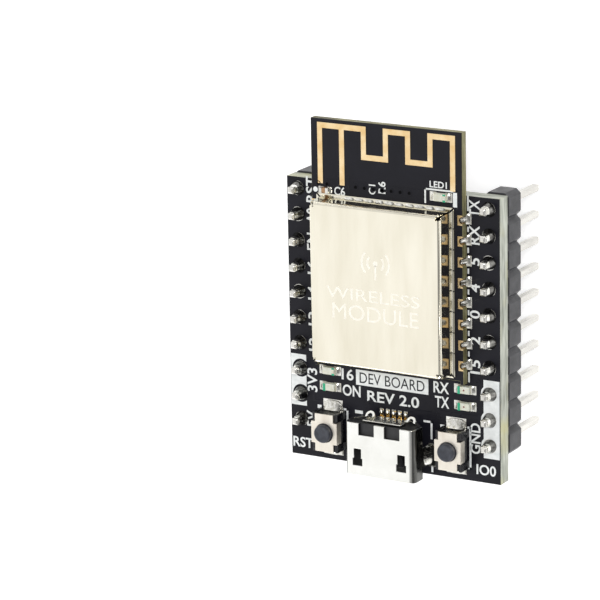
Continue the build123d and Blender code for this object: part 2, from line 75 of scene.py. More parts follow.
def linear(hex_colour):
    """An sRGB hex colour as linear values."""
    channels = [int(hex_colour[i:i + 2], 16) / 255 for i in (1, 3, 5)]
    bent = [c / 12.92 if c <= 0.04045 else ((c + 0.055) / 1.055) ** 2.4 for c in channels]
    return (*bent, 1.0)


def per_mm(size):
    """The texture scale at which a pattern repeats every so many millimetres."""
    return 1 / (size * MM)


def add_node(tree, kind, inputs=None, **settings):
    """Adds a node with its settings; an input takes a value, or another node's output as a link."""
    added = tree.nodes.new(kind)
    for key, value in settings.items():
        setattr(added, key, value)
    for key, value in (inputs or {}).items():
        socket = added.inputs[key]
        if isinstance(value, bpy.types.NodeSocket):
            tree.links.new(value, socket)
        else:
            socket.default_value = value
    return added


def surface(name, light, dark, patch, grain, relief, smooth, rough, stretch=(1, 1, 1), **sockets):
    """Two close colours in soft patches, a roughness that follows them, and a fine relief.

    patch, grain and relief are in millimetres; smooth and rough are the two ends of the roughness.
    """
    material = bpy.data.materials.new(name)
    material.use_nodes = True
    tree = material.node_tree
    shader = tree.nodes["Principled BSDF"]
    for key, value in sockets.items():
        shader.inputs[key.replace("_", " ")].default_value = value
    place = add_node(tree, "ShaderNodeTexCoord")
    run = add_node(tree, "ShaderNodeMapping", {"Vector": place.outputs["Object"], "Scale": stretch})
    patches = add_node(tree, "ShaderNodeTexNoise", {
        "Vector": run.outputs["Vector"], "Scale": per_mm(patch), "Detail": 4.0})
    spread = add_node(tree, "ShaderNodeMapRange", {
        "Value": patches.outputs["Fac"], "From Min": NOISE_LOW, "From Max": NOISE_HIGH})
    tint = add_node(tree, "ShaderNodeMix", {
        0: spread.outputs["Result"], 6: linear(light), 7: linear(dark)}, data_type="RGBA")
    gloss = add_node(tree, "ShaderNodeMapRange", {
        "Value": patches.outputs["Fac"], "From Min": NOISE_LOW, "From Max": NOISE_HIGH,
        "To Min": smooth, "To Max": rough})
    fine = add_node(tree, "ShaderNodeTexNoise", {
        "Vector": run.outputs["Vector"], "Scale": per_mm(grain), "Detail": 2.0})
    raised = add_node(tree, "ShaderNodeBump", {
        "Height": fine.outputs["Fac"], "Strength": 1.0, "Distance": relief * MM})
    tree.links.new(tint.outputs[2], shader.inputs["Base Color"])
    tree.links.new(gloss.outputs["Result"], shader.inputs["Roughness"])
    tree.links.new(raised.outputs["Normal"], shader.inputs["Normal"])
    return material


def routed_laminate(name, light, dark, resin, patch):
    """Glass-epoxy cut by a router: grey plies along the edge, with patches of bare resin."""
    material = surface(name, light, dark, patch=0.38, grain=0.12, relief=0.02, smooth=0.5, rough=0.7,
                       stretch=(0.14, 0.14, 1))
    tree = material.node_tree
    shader = tree.nodes["Principled BSDF"]
    fibres = shader.inputs["Base Color"].links[0].from_socket
    place = add_node(tree, "ShaderNodeTexCoord")
    pools = add_node(tree, "ShaderNodeTexNoise", {
        "Vector": place.outputs["Object"], "Scale": per_mm(patch), "Detail": 2.0})
    # Resin shows only where the noise is high, and never hides the plies fully.
    pool_starts, pool_full, thickest = 0.5, 0.68, 0.8
    amount = add_node(tree, "ShaderNodeMapRange", {
        "Value": pools.outputs["Fac"], "From Min": pool_starts, "From Max": pool_full,
        "To Max": thickest})
    tint = add_node(tree, "ShaderNodeMix", {
        0: amount.outputs["Result"], 6: fibres, 7: linear(resin)}, data_type="RGBA")
    tree.links.new(tint.outputs[2], shader.inputs["Base Color"])
    return material


# Liquid solder mask, printed and cured: black with a faint blue cast, an even gloss and a shallow
# orange peel over the weave below it.
black_mask = surface("black_solder_mask", "#15151b", "#1b1b23", patch=3.0, grain=0.55, relief=0.004,
                     smooth=0.3, rough=0.4, IOR=1.5, Specular_IOR_Level=0.2)

# The same mask sunk into a via, painted darker: painted shade for the hollow, where no light comes back
# out of it.
via_shade_mask = surface("painted_via_shade", "#08080b", "#050507", patch=0.2, grain=0.1, relief=0.004,
                    smooth=0.6, rough=0.7, Specular_IOR_Level=0.1)

# Board edges: the carrier's are pale grey-green, and the thin module's are browner with resin.
carrier_edge = routed_laminate("routed_grey_laminate", "#c4c7bb", "#83867b", "#b5b283", 4.0)
module_edge = routed_laminate("routed_olive_laminate", "#938e66", "#56522f", "#453f1e", 3.0)

# Screen-printed epoxy ink: a cool white, matt, a little thin in places.
white_ink = surface("white_legend_ink", "#f5f7f6", "#e0e4e3", patch=0.5, grain=0.12, relief=0.004,
                    smooth=0.5, rough=0.65, IOR=1.5)

# Immersion gold over nickel: pale yellow and satin, from the nickel's grain.
gold_plate = surface("immersion_gold", "#fce3b6", "#efcb90", patch=0.9, grain=0.1, relief=0.003,
                     smooth=0.26, rough=0.4, Metallic=1.0)

# Tin levelled over copper pads: white metal with a soft mirror.
tin_plate = surface("levelled_tin", "#f0efe9", "#d2d0c8", patch=0.6, grain=0.2, relief=0.006,
                    smooth=0.16, rough=0.34, Metallic=1.0)

# Solder, frozen from a melt: bright, wavy, with dull crystal patches.
bright_solder = surface("reflowed_solder", "#efeee9", "#bfbdb2", patch=0.35, grain=0.22, relief=0.02,
                        smooth=0.08, rough=0.26, Metallic=1.0)

# Drawn nickel silver: a warm white satin lid with the roller's faint lengthwise streaks.
can_sheet = surface("satin_nickel_silver", "#f1ecdc", "#e4decb", patch=2.2, grain=0.35, relief=0.0006,
                    smooth=0.08, rough=0.14, stretch=(1, 0.2, 1), Metallic=1.0)

# Laser marking on that lid: the same metal, frosted a shade lighter.
can_mark = surface("frosted_nickel_silver", "#fffcf2", "#f7f2e4", patch=0.3, grain=0.08, relief=0.004,
                   smooth=0.45, rough=0.6, Metallic=0.55)

# Glass-filled nylon, moulded: blue-black, half matt, a fine spark-eroded grain.
header_nylon = surface("moulded_black_nylon", "#24242a", "#1b1b20", patch=1.2, grain=0.09, relief=0.008,
                       smooth=0.36, rough=0.5, IOR=1.53)

# Square brass wire, tin plated and drawn: bright, with fine lines along its length.
pin_wire = surface("tinned_brass_wire", "#e6e4de", "#cfcdc7", patch=0.7, grain=0.1, relief=0.004,
                   smooth=0.2, rough=0.34, stretch=(1, 1, 0.15), Metallic=1.0)

# Deep-drawn steel, bright nickel plated: a clean silver with a soft mirror.
usb_steel = surface("nickel_plated_steel", "#f6f6f2", "#eaeae4", patch=2.5, grain=0.4, relief=0.0015,
                    smooth=0.14, rough=0.22, Metallic=1.0)

# The shell's folded sides: the same steel painted a darker grey, as painted shade that stands in for the
# dark reflection on these side walls.
shaded_side_steel = surface("painted_shade_side_steel", "#6f6f6c", "#4a4a48", patch=1.2, grain=0.2, relief=0.004,
                      smooth=0.2, rough=0.32, stretch=(1, 0.25, 1), Metallic=1.0)

# The same steel inside the socket, painted dull and grey: painted shade for the socket's dark hollow.
shaded_steel = surface("painted_shade_inner_steel", "#3a3a39", "#282827", patch=0.8, grain=0.2, relief=0.003,
                       smooth=0.4, rough=0.55, Metallic=1.0)

# Liquid-crystal polymer, moulded: black, dull, flow marks along it.
socket_plastic = surface("moulded_black_polymer", "#141418", "#0c0c10", patch=0.8, grain=0.12,
                         relief=0.006, smooth=0.4, rough=0.6, IOR=1.6)

# Phosphor bronze, gold flashed: deeper and yellower than the pads.
contact_gold = surface("gold_flashed_bronze", "#e9bf6a", "#b98a3e", patch=0.35, grain=0.1, relief=0.004,
                       smooth=0.2, rough=0.36, Metallic=1.0)

# Stamped stainless sheet: a warm ivory satin with a faint roll grain.
button_sheet = surface("stamped_satin_steel", "#f6f0e4", "#e9e1d4", patch=0.8, grain=0.12, relief=0.004,
                       smooth=0.34, rough=0.5, stretch=(1, 0.35, 1), Metallic=0.85)

# Moulded nylon of the button bodies: jet black with a wet gloss.
button_nylon = surface("moulded_jet_nylon", "#131318", "#0d0d11", patch=0.6, grain=0.1, relief=0.006,
                       smooth=0.2, rough=0.36, IOR=1.53)

# Acetal plunger: charcoal and waxy, in faint patches.
plunger_acetal = surface("moulded_charcoal_acetal", "#3d4049", "#2d2f37", patch=0.45, grain=0.09,
                         relief=0.012, smooth=0.3, rough=0.5, IOR=1.48)

# Spring steel of the snap domes: cold grey and bright.
dome_steel = surface("tempered_spring_steel", "#c9cbcd", "#aeb0b3", patch=0.5, grain=0.1, relief=0.002,
                     smooth=0.18, rough=0.3, Metallic=1.0)

# Clear epoxy cast over a light's die: warm cream, slightly see-into, glossy.
lamp_resin = surface("cast_cream_epoxy", "#fbf7e4", "#eee9cf", patch=0.3, grain=0.12, relief=0.006,
                     smooth=0.12, rough=0.25, IOR=1.54, Subsurface_Weight=0.25)

# White ceramic-filled carrier of the lights, and its green polarity ink.
lamp_carrier = surface("white_filled_laminate", "#f4f3ea", "#dedccb", patch=0.3, grain=0.1,
                       relief=0.004, smooth=0.35, rough=0.5)
polarity_ink = surface("green_polarity_ink", "#2fb687", "#1f9870", patch=0.2, grain=0.08, relief=0.003,
                       smooth=0.35, rough=0.5)

# The light's die and its bond, seen through the resin: a small dark red spot.
die_spot = surface("red_die_bond", "#8e3a2c", "#5d211a", patch=0.08, grain=0.05, relief=0.002,
                   smooth=0.3, rough=0.45)

# Filled epoxy chip bodies, transfer moulded: dark grey, matt, a sandy grain.
chip_epoxy = surface("moulded_chip_epoxy", "#2b2b2e", "#222225", patch=0.9, grain=0.07, relief=0.01,
                     smooth=0.45, rough=0.62, IOR=1.55)

# Laser marking on chips: a thin pale burn in the epoxy.
chip_mark = surface("burnt_epoxy_mark", "#8d8d88", "#72726d", patch=0.2, grain=0.06, relief=0.004,
                    smooth=0.55, rough=0.7)

# Fired ceramic of the small capacitors: tan, glazed, faintly speckled.
tan_ceramic = surface("fired_tan_ceramic", "#b98f66", "#9c7650", patch=0.25, grain=0.06, relief=0.004,
                      smooth=0.25, rough=0.4)

# Glazed thick-film resistor body: black glass over white alumina.
black_glaze = surface("glazed_black_film", "#1d1d20", "#151517", patch=0.3, grain=0.08, relief=0.003,
                      smooth=0.18, rough=0.3)

# Solder drawn up a pin by hand, given as a dark grey metal with darker patches: painted shade for the
# dark reflections on the joints' lower flanks, below their bright tips.
painted_shade_solder = surface("painted_shade_solder", "#8f8e8a", "#383633", patch=0.3, grain=0.12, relief=0.015,
                        smooth=0.1, rough=0.28, stretch=(1, 1, 0.3), Metallic=1.0)

# Matt tin on bent copper legs: grey-white with tool marks.
leg_tin = surface("matt_tinned_copper", "#d9d7d0", "#b9b7ae", patch=0.35, grain=0.08, relief=0.005,
                  smooth=0.24, rough=0.42, Metallic=1.0)

# Pale sealed tabletop: nearly white, with a breath of tooth.
table_paint = surface("pale_sealed_table", "#f2f2f2", "#eeeeee", patch=40.0, grain=2.0, relief=0.02,
                      smooth=0.7, rough=0.85, Emission_Strength=0.5,
                      Emission_Color=(1.0, 1.0, 1.0, 1.0))


# ---- Making pieces ----


def corners_mm(node):
    """A CAD node's lowest and highest corners, in millimetres."""
    low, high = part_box(node)
    return low / MM, high / MM


def copy_of(node):
    """A CAD node's mesh in millimetres, with its flat faces made whole again."""
    same_point = 0.0005
    same_plane = math.radians(0.6)
    bm = bmesh.new()
    bm.from_mesh(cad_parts[node].data)
    bmesh.ops.scale(bm, vec=(1 / MM,) * 3, verts=bm.verts)
    bmesh.ops.remove_doubles(bm, verts=bm.verts, dist=same_point)
    bmesh.ops.dissolve_limit(bm, angle_limit=same_plane, verts=bm.verts, edges=bm.edges)
    return bm


def solids_of(node):
    """The (low, high) corners of a CAD node's separate solids, along X and then from +Y down."""
    same_point = 1e-7
    bm = bmesh.new()
    bm.from_mesh(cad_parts[node].data)
    bmesh.ops.remove_doubles(bm, verts=bm.verts, dist=same_point)
    unseen = set(bm.verts)
    found = []
    while unseen:
        first = next(v for v in bm.verts if v in unseen)
        unseen.discard(first)
        queue = [first]
        low, high = Vector(first.co), Vector(first.co)
        while queue:
            at = queue.pop()
            low = Vector(map(min, low, at.co))
            high = Vector(map(max, high, at.co))
            for edge in at.link_edges:
                other = edge.other_vert(at)
                if other in unseen:
                    unseen.discard(other)
                    queue.append(other)
        found.append((low / MM, high / MM))
    bm.free()
    return sorted(found, key=lambda box: (round(box[0].x, 3), -box[0].y))


def new_piece(name, bm, finishes, body="board", stands_for=(), bevel=0.0, rings=2, sharp=32):
    """Makes a piece from a mesh drawn in millimetres, with its finishes, broken edges and body, and hides
    the CAD parts it stands for.
    """
    bmesh.ops.scale(bm, vec=(MM,) * 3, verts=bm.verts)
    mesh = bpy.data.meshes.new(name)
    bm.to_mesh(mesh)
    bm.free()
    for finish in finishes:
        mesh.materials.append(finish)
    mesh.shade_smooth()
    mesh.set_sharp_from_angle(angle=math.radians(sharp))
    piece = bpy.data.objects.new(name, mesh)
    bpy.context.scene.collection.objects.link(piece)
    if bevel:
        rounding = piece.modifiers.new("broken_edges", "BEVEL")
        rounding.width = bevel * MM
        rounding.segments = rings
        rounding.limit_method = "ANGLE"
        rounding.angle_limit = math.radians(sharp)
        rounding.harden_normals = True
    # Keeps large flat faces shading flat beside their narrow rounded edges.
    levelling = piece.modifiers.new("level_faces", "WEIGHTED_NORMAL")
    levelling.keep_sharp = True
    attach(piece, body)
    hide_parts(*stands_for)
    return piece


def paint_faces(bm, start, finish):
    """Gives every face added since start the finish with that number."""
    bm.faces.ensure_lookup_table()
    for face in bm.faces[start:]:
        face.material_index = finish


def add_block(bm, low, high, finish=0, draft=0.0):
    """Adds a box from its low corner to its high corner, its top drawn in by the draft."""
    start = len(bm.faces)
    levels = []
    for z, inset in ((low[2], 0.0), (high[2], draft)):
        x0, y0, x1, y1 = low[0] + inset, low[1] + inset, high[0] - inset, high[1] - inset
        levels.append([bm.verts.new((x, y, z)) for x, y in ((x0, y0), (x1, y0), (x1, y1), (x0, y1))])
    bottom, top = levels
    bm.faces.new(reversed(bottom))
    bm.faces.new(top)
    for i in range(4):
        j = (i + 1) % 4
        bm.faces.new((bottom[i], bottom[j], top[j], top[i]))
    paint_faces(bm, start, finish)


def join_rings(bm, rings, finish=0):
    """Skins a list of equal rings of points, and caps the first and last."""
    start = len(bm.faces)
    rows = [[bm.verts.new(point) for point in ring] for ring in rings]
    for one, two in zip(rows, rows[1:]):
        for i in range(len(one)):
            j = (i + 1) % len(one)
            bm.faces.new((one[i], one[j], two[j], two[i]))
    bm.faces.new(reversed(rows[0]))
    bm.faces.new(rows[-1])
    paint_faces(bm, start, finish)


def circle(x, y, radius, steps=32):
    """A circle's points, anticlockwise."""
    turns = [2 * math.pi * i / steps for i in range(steps)]
    return [(x + radius * math.cos(t), y + radius * math.sin(t)) for t in turns]


def rectangle(x0, y0, x1, y1):
    """A rectangle's points, anticlockwise."""
    return [(x0, y0), (x1, y0), (x1, y1), (x0, y1)]


def mesh_of(curve):
    """A curve or lettering as a plain mesh."""
    holder = bpy.data.objects.new("holder", curve)
    bpy.context.scene.collection.objects.link(holder)
    graph = bpy.context.evaluated_depsgraph_get()
    mesh = bpy.data.meshes.new_from_object(holder.evaluated_get(graph))
    bpy.data.objects.remove(holder)
    return mesh


def take_in(bm, mesh, finish=0):
    """Adds a mesh's faces with one finish, and drops the mesh."""
    start = len(bm.faces)
    bm.from_mesh(mesh)
    paint_faces(bm, start, finish)
    bpy.data.meshes.remove(mesh)


def stamp(bm, curve, low, high, finish=0, fit=None, centre=(0, 0), turn=0.0):
    """Adds a flat curve as a thin solid between two levels, fitted to a size, turned and placed."""
    curve.extrude = 1.0
    mesh = mesh_of(curve)
    xs = [v.co.x for v in mesh.vertices]
    ys = [v.co.y for v in mesh.vertices]
    middle = Vector(((min(xs) + max(xs)) / 2, (min(ys) + max(ys)) / 2)) if fit else Vector((0, 0))
    wide = fit[0] / (max(xs) - min(xs)) if fit else 1.0
    tall = fit[1] / (max(ys) - min(ys)) if fit else 1.0
    for vert in mesh.vertices:
        x = (vert.co.x - middle.x) * wide
        y = (vert.co.y - middle.y) * tall
        z = low if vert.co.z < 0 else high
        across = centre[0] + x * math.cos(turn) - y * math.sin(turn)
        along = centre[1] + x * math.sin(turn) + y * math.cos(turn)
        vert.co = (across, along, z)
    take_in(bm, mesh, finish)


def stamp_outlines(bm, outlines, low, high, finish=0):
    """Adds flat outlines as one thin solid; an outline inside another is a hole."""
    curve = bpy.data.curves.new("outlines", "CURVE")
    curve.dimensions = "2D"
    curve.fill_mode = "BOTH"
    for outline in outlines:
        spline = curve.splines.new("POLY")
        spline.points.add(len(outline) - 1)
        for point, (x, y) in zip(spline.points, outline):
            point.co = (x, y, 0.0, 1.0)
        spline.use_cyclic_u = True
    stamp(bm, curve, low, high, finish)


def add_bar(bm, x0, y0, x1, y1, low, high, finish=0):
    """Adds a flat rectangle between two levels."""
    stamp_outlines(bm, [rectangle(x0, y0, x1, y1)], low, high, finish)


def add_pad(bm, x0, y0, x1, y1, base, finish=0):
    """Adds a plated copper pad on a board's face."""
    add_bar(bm, x0, y0, x1, y1, base - SUNK, base + PLATE, finish)


def stamp_words(bm, words, fit, centre, low, high, turn=0.0, weight=0.018, finish=0):
    """Adds lettering in the built-in type, fitted to a width and a height."""
    curve = bpy.data.curves.new("words", "FONT")
    curve.body = words
    curve.offset = weight
    curve.resolution_u = 4
    stamp(bm, curve, low, high, finish, fit, centre, turn)


def add_ridge(bm, points, width, low, rise):
    """Adds a low rounded ridge along a line of points, as a track under the mask makes."""
    curve = bpy.data.curves.new("ridge", "CURVE")
    curve.dimensions = "3D"
    curve.bevel_depth = width / 2
    curve.bevel_resolution = 2
    curve.use_fill_caps = True
    spline = curve.splines.new("POLY")
    spline.points.add(len(points) - 1)
    for point, (x, y) in zip(spline.points, points):
        point.co = (x, y, 0.0, 1.0)
    mesh = mesh_of(curve)
    for vert in mesh.vertices:
        vert.co.z = low + vert.co.z * 2 * rise / width
    take_in(bm, mesh)


def add_fillet(bm, foot, turn, width, reach, height, finish=0, sections=9, droop=0.35):
    """Adds a hollow-faced solder fillet: it climbs a wall at the foot point and runs out along turn."""
    steps = 7
    toe_round = 0.3
    hollow = 1.8
    x0, y0, z0 = foot
    ahead = Vector((math.cos(turn), math.sin(turn)))
    beside = Vector((-math.sin(turn), math.cos(turn)))
    rings = []
    for j in range(sections):
        t = 2 * j / (sections - 1) - 1
        round_off = 1 - droop * t ** 4
        outline = [(0.0, 0.0)]
        for i in range(steps + 1):
            u = i / steps
            out = reach * u * (1 - toe_round * t ** 4)
            outline.append((out, height * round_off * (1 - u) ** hollow))
        ring = []
        for out, up in outline:
            spot = ahead * out + beside * (t * width / 2)
            ring.append((x0 + spot.x, y0 + spot.y, z0 + up))
        rings.append(ring)
    join_rings(bm, rings, finish)


# ---- Places taken from the frame ----

board_low, board_high = corners_mm("carrier_board")
BOARD_TOP = board_high.z
BOARD_BOTTOM = board_low.z
module_low, module_high = corners_mm("module_board")
MODULE_TOP = module_high.z
can_low, can_high = corners_mm("shield_can")
track_low = corners_mm("antenna_track")[0]
usb_low, usb_high = corners_mm("usb_shell")

pin_boxes = {side: solids_of(f"header_{side}_pins") for side in ("left", "right")}
pins = {}
for side, boxes in pin_boxes.items():
    pins[side] = [((low + high) / 2).xy for low, high in boxes]
    pins[side].sort(key=lambda place: -place.y)
pin_low, pin_high = pin_boxes["left"][0]
PIN_HALF = (pin_high.x - pin_low.x) / 2
PIN_TOP = pin_high.z

joint_low, joint_high = solids_of("header_left_solder")[0]
PAD_RADIUS = (joint_high.x - joint_low.x) / 2
HOLE_RADIUS = PAD_RADIUS - 0.2
# The board's -Y edge, where the socket and the buttons are.
SOCKET_EDGE = board_low.y

pad_boxes = solids_of("module_right_solder")
pad_rows = sorted((round((low.y + high.y) / 2, 3) for low, high in pad_boxes), reverse=True)
module_middle = (module_low.x + module_high.x) / 2
MODULE_HALF = (module_high.x - module_low.x) / 2
LAST_PAD_TO_END = 1.5
MODULE_END = min(pad_rows) - LAST_PAD_TO_END
PAD_NOTCH = 0.35
END_PADS = 6
END_PAD_PITCH = 2.0


def seen_from_below(low, high):
    """A box's corners as seen from under the carrier, with heights measured from its underside."""
    return Vector((-high.x, low.y, BOARD_BOTTOM - high.z)), Vector((-low.x, high.y, BOARD_BOTTOM - low.z))


def hang_below(bm):
    """Turns a mesh drawn as seen from below about the Y axis, and hangs it under the carrier."""
    bmesh.ops.rotate(bm, cent=(0, 0, 0), matrix=Matrix.Rotation(math.pi, 3, "Y"), verts=bm.verts)
    bmesh.ops.translate(bm, vec=(0, 0, BOARD_BOTTOM), verts=bm.verts)


# ---- Carrier board, its pads and its prints ----


def near_a_pin(point, reach):
    """Whether a point lies within reach of a pin's axis."""
    return any((point.xy - place).length < reach for row in pins.values() for place in row)


def make_carrier_board():
    """The cut board: masked faces, bare routed edges, plated hole walls."""
    bm = copy_of("carrier_board")
    for face in bm.faces:
        if abs(face.normal.z) < UPRIGHT_FACE:
            face.material_index = 2 if near_a_pin(face.calc_center_median(), PAD_RADIUS) else 1
    new_piece("carrier_laminate", bm, [black_mask, carrier_edge, tin_plate],
              stands_for=["carrier_board"], bevel=0.035, rings=1)


def make_carrier_pads():
    """A tinned ring round each pin on both faces, and the long pads beside the module."""
    bm = bmesh.new()
    for row in pins.values():
        for place in row:
            rings = [circle(place.x, place.y, PAD_RADIUS), circle(place.x, place.y, HOLE_RADIUS)]
            stamp_outlines(bm, rings, BOARD_TOP - SUNK, BOARD_TOP + PLATE)
            stamp_outlines(bm, rings, BOARD_BOTTOM - PLATE, BOARD_BOTTOM + SUNK)
    under_module, past_module = 0.6, 0.48
    half_width = 0.52
    for y in pad_rows:
        for side in (-1, 1):
            edge = module_middle + side * MODULE_HALF
            x0, x1 = sorted((edge - side * under_module, edge + side * past_module))
            add_pad(bm, x0, y - half_width, x1, y + half_width, BOARD_TOP)
    new_piece("carrier_pads", bm, [tin_plate])


# Net names printed beside the pins, from the antenna end down, and the length of each word.
PIN_NAMES = {
    "right": [("TX", 1.6), ("RX", 1.8), ("5", 0.72), ("4", 0.78), ("0", 0.78), ("2", 0.78),
              ("15", 1.35)],
    "left": [("RST", 2.5), ("A0", 1.45), ("EN", 1.7), ("16", 1.35), ("14", 1.35), ("13", 1.35),
             ("12", 1.35)],
}
NAME_HEIGHT = 1.08
NAME_FROM_PIN = 1.48

# Other words on the component side: text, length and height, x, and how far above the socket edge.
UPRIGHT_WORDS = (
    ("GND", (3.0, 1.08), pins["right"][0].x - 1.5, 4.22),
    ("3V3", (2.35, 1.1), pins["left"][0].x + 1.25, 7.68),
    ("5V", (1.65, 1.05), pins["left"][0].x + 1.1, 3.75),
)
LEVEL_WORDS = (
    ("IO0", (2.05, 1.02), 9.78, 1.24),
    ("RST", (2.2, 1.02), -10.05, 1.25),
    ("16", (1.3, 1.12), -5.02, 8.72),
    ("ON", (1.95, 1.12), -4.6, 7.15),
    ("RX", (1.65, 1.12), 5.07, 8.74),
    ("TX", (1.5, 1.12), 5.15, 7.32),
    ("REV 2.0", (5.6, 1.08), -0.1, 6.9),
)

# The white box of the title: its left and right ends, and its lower and upper sides.
TITLE_LEFT, TITLE_RIGHT = -4.1, 3.7
TITLE_LOW, TITLE_HIGH = SOCKET_EDGE + 7.84, SOCKET_EDGE + 9.36

# Bars of the corner brackets round the socket and the buttons, as x0, y0, x1, y1 with y from the
# socket edge, and two short marks beside the button strips.
BRACKET_BARS = (
    (3.15, 5.1, 4.1, 5.3), (3.9, 3.5, 4.1, 5.3),
    (-4.25, 4.98, -3.4, 5.3),
    (-5.5, 5.1, -5.0, 5.3), (-5.2, 0.9, -5.0, 5.3),
    (7.82, 5.1, 8.22, 5.3), (8.02, 1.1, 8.22, 5.3), (7.82, 1.1, 8.22, 1.3),
    (3.95, 0.25, 4.15, 0.85),
    (-8.37, 4.95, -7.93, 5.29), (4.94, 4.78, 5.38, 5.12),
)

# The white fields round the power pins: row, first and last pin, inner side and outer side.
POWER_FIELDS = (
    ("right", 7, 9, pins["right"][0].x - 0.62, board_high.x - 0.1),
    ("left", 7, 8, pins["left"][0].x + 0.6, board_low.x + 0.06),
)
CLEAR_RING = 0.9


def cut_field(x0, x1, y0, y1, holes, away):
    """A rectangle's outline with round bites: the holes break through its side that faces away."""
    steps = 24
    near = x0 if away < 0 else x1
    far = x1 if away < 0 else x0
    outline = [(far, y0), (near, y0)]
    for hx, hy, radius in sorted(holes, key=lambda hole: hole[1]):
        offset = near - hx
        if abs(offset) >= radius:
            continue
        start = math.atan2(-math.sqrt(radius ** 2 - offset ** 2), offset)
        sweep = 2 * (math.pi - abs(start))
        angles = [start - sweep * i / steps for i in range(steps + 1)]
        outline += [(hx + radius * math.cos(a), hy + radius * math.sin(a)) for a in angles]
    outline += [(near, y1), (far, y1)]
    return outline


def print_words(bm, low, high):
    """The pin names and every other word but the title."""
    for side, names in PIN_NAMES.items():
        inward = -1 if side == "right" else 1
        for place, (word, length) in zip(pins[side], names):
            centre = (place.x + inward * NAME_FROM_PIN, place.y - 0.04)
            stamp_words(bm, word, (length, NAME_HEIGHT), centre, low, high, UPRIGHT)
    for turn, words in ((UPRIGHT, UPRIGHT_WORDS), (0.0, LEVEL_WORDS)):
        for word, fit, x, y in words:
            stamp_words(bm, word, fit, (x, SOCKET_EDGE + y), low, high, turn)


def print_power_fields(bm, low, high):
    """White fields round the power pins, each pin in a clear ring."""
    above, below = 1.35, 1.22
    for side, first, last, inner, outer in POWER_FIELDS:
        row = pins[side]
        away = -1 if side == "right" else 1
        x0, x1 = sorted((inner, outer))
        holes = [(row[i].x, row[i].y, CLEAR_RING) for i in range(first, last + 1)]
        outline = cut_field(x0, x1, row[last].y - below, row[first].y + above, holes, away)
        stamp_outlines(bm, [outline], low, high)


def print_module_outline(bm, low, high):
    """A dashed line down each side of the module, broken at each pad."""
    half_line = 0.08
    clear = 0.75
    stops = [pad_rows[0] + 2.2] + pad_rows + [pad_rows[-1] - 1.75]
    for side in (-1, 1):
        x = module_middle + side * (MODULE_HALF + 0.12)
        for i, (upper, lower) in enumerate(zip(stops, stops[1:])):
            y1 = upper - (clear if i else 0.0)
            y0 = lower + (clear if i < len(stops) - 2 else 0.0)
            add_bar(bm, x - half_line, y0, x + half_line, y1, low, high)


def make_carrier_legend():
    """All the white print on the component side, and the title in its white box."""
    bm = bmesh.new()
    low, high = BOARD_TOP - SUNK, BOARD_TOP + INK
    print_words(bm, low, high)
    add_bar(bm, TITLE_LEFT, TITLE_LOW, TITLE_RIGHT, TITLE_HIGH, low, high)
    print_power_fields(bm, low, high)
    print_module_outline(bm, low, high)
    for x0, y0, x1, y1 in BRACKET_BARS:
        add_bar(bm, x0, SOCKET_EDGE + y0, x1, SOCKET_EDGE + y1, low, high)
    new_piece("carrier_legend", bm, [white_ink])
    # The title is the mask showing through its white box.
    title_rise = 0.006
    words = bmesh.new()
    middle = ((TITLE_LEFT + TITLE_RIGHT) / 2, (TITLE_LOW + TITLE_HIGH) / 2)
    stamp_words(words, "DEV BOARD", (7.0, 1.06), middle, high - SUNK, high + title_rise,
                weight=0.0)
    new_piece("carrier_title", words, [black_mask])


# Routes of the tracks on the component side, as x and the distance above the socket edge, and widths.
FINE, WIDE = 0.3, 0.6
TOP_TRACKS = (
    ([(8.9, 9.8), (8.9, 8.2), (6.6, 5.9), (4.6, 5.9)], FINE),
    ([(6.2, 6.6), (4.9, 5.3), (4.9, 3.4)], FINE),
    ([(4.0, 7.7), (5.0, 6.6), (8.9, 6.6)], FINE),
    ([(-8.7, 7.2), (-8.7, 5.7), (-6.3, 5.7)], FINE),
    ([(-3.9, 7.4), (-3.2, 6.2), (-2.6, 6.2)], FINE),
    ([(1.4, 5.9), (2.6, 6.3), (4.0, 6.3)], FINE),
    ([(-9.2, 10.4), (-8.2, 9.9), (-8.2, 8.9)], FINE),
    ([(-8.9, 2.4), (-8.9, 0.7), (-4.4, 0.7)], WIDE),
    ([(8.7, 0.8), (4.6, 0.8)], WIDE),
)
TOP_VIAS = ((8.9, 9.8), (4.6, 5.9), (4.0, 7.7), (-6.3, 5.7), (-2.6, 6.2))

# Routes on the solder side, as seen from below.
UNDER_TRACKS = (
    ([(9.0, 6.4), (6.2, 6.4), (5.2, 5.4), (5.2, 3.4)], FINE),
    ([(9.0, 3.8), (7.6, 3.8), (7.6, -0.6), (6.6, -1.6)], FINE),
    ([(9.0, 1.3), (8.4, 0.7), (8.4, -6.0), (6.6, -7.8)], FINE),
    ([(-9.0, 8.9), (-6.6, 8.9), (-5.4, 7.7)], WIDE),
    ([(-9.0, 3.8), (-6.0, 3.8), (-3.4, 1.2), (-3.4, -1.2)], FINE),
    ([(-9.0, 1.3), (-5.4, 1.3), (-4.6, 0.5), (-4.6, -2.2)], FINE),
    ([(-9.0, -1.3), (-7.6, -2.7), (-7.6, -11.0)], WIDE),
    ([(2.6, -13.6), (2.6, -14.4), (8.6, -14.4)], WIDE),
    ([(-1.0, 3.0), (-1.0, 4.6), (2.0, 4.6)], FINE),
)

# How far a masked track stands up, and how far its ridge is sunk.
TRACK_RISE = 0.022
TRACK_SUNK = 0.005


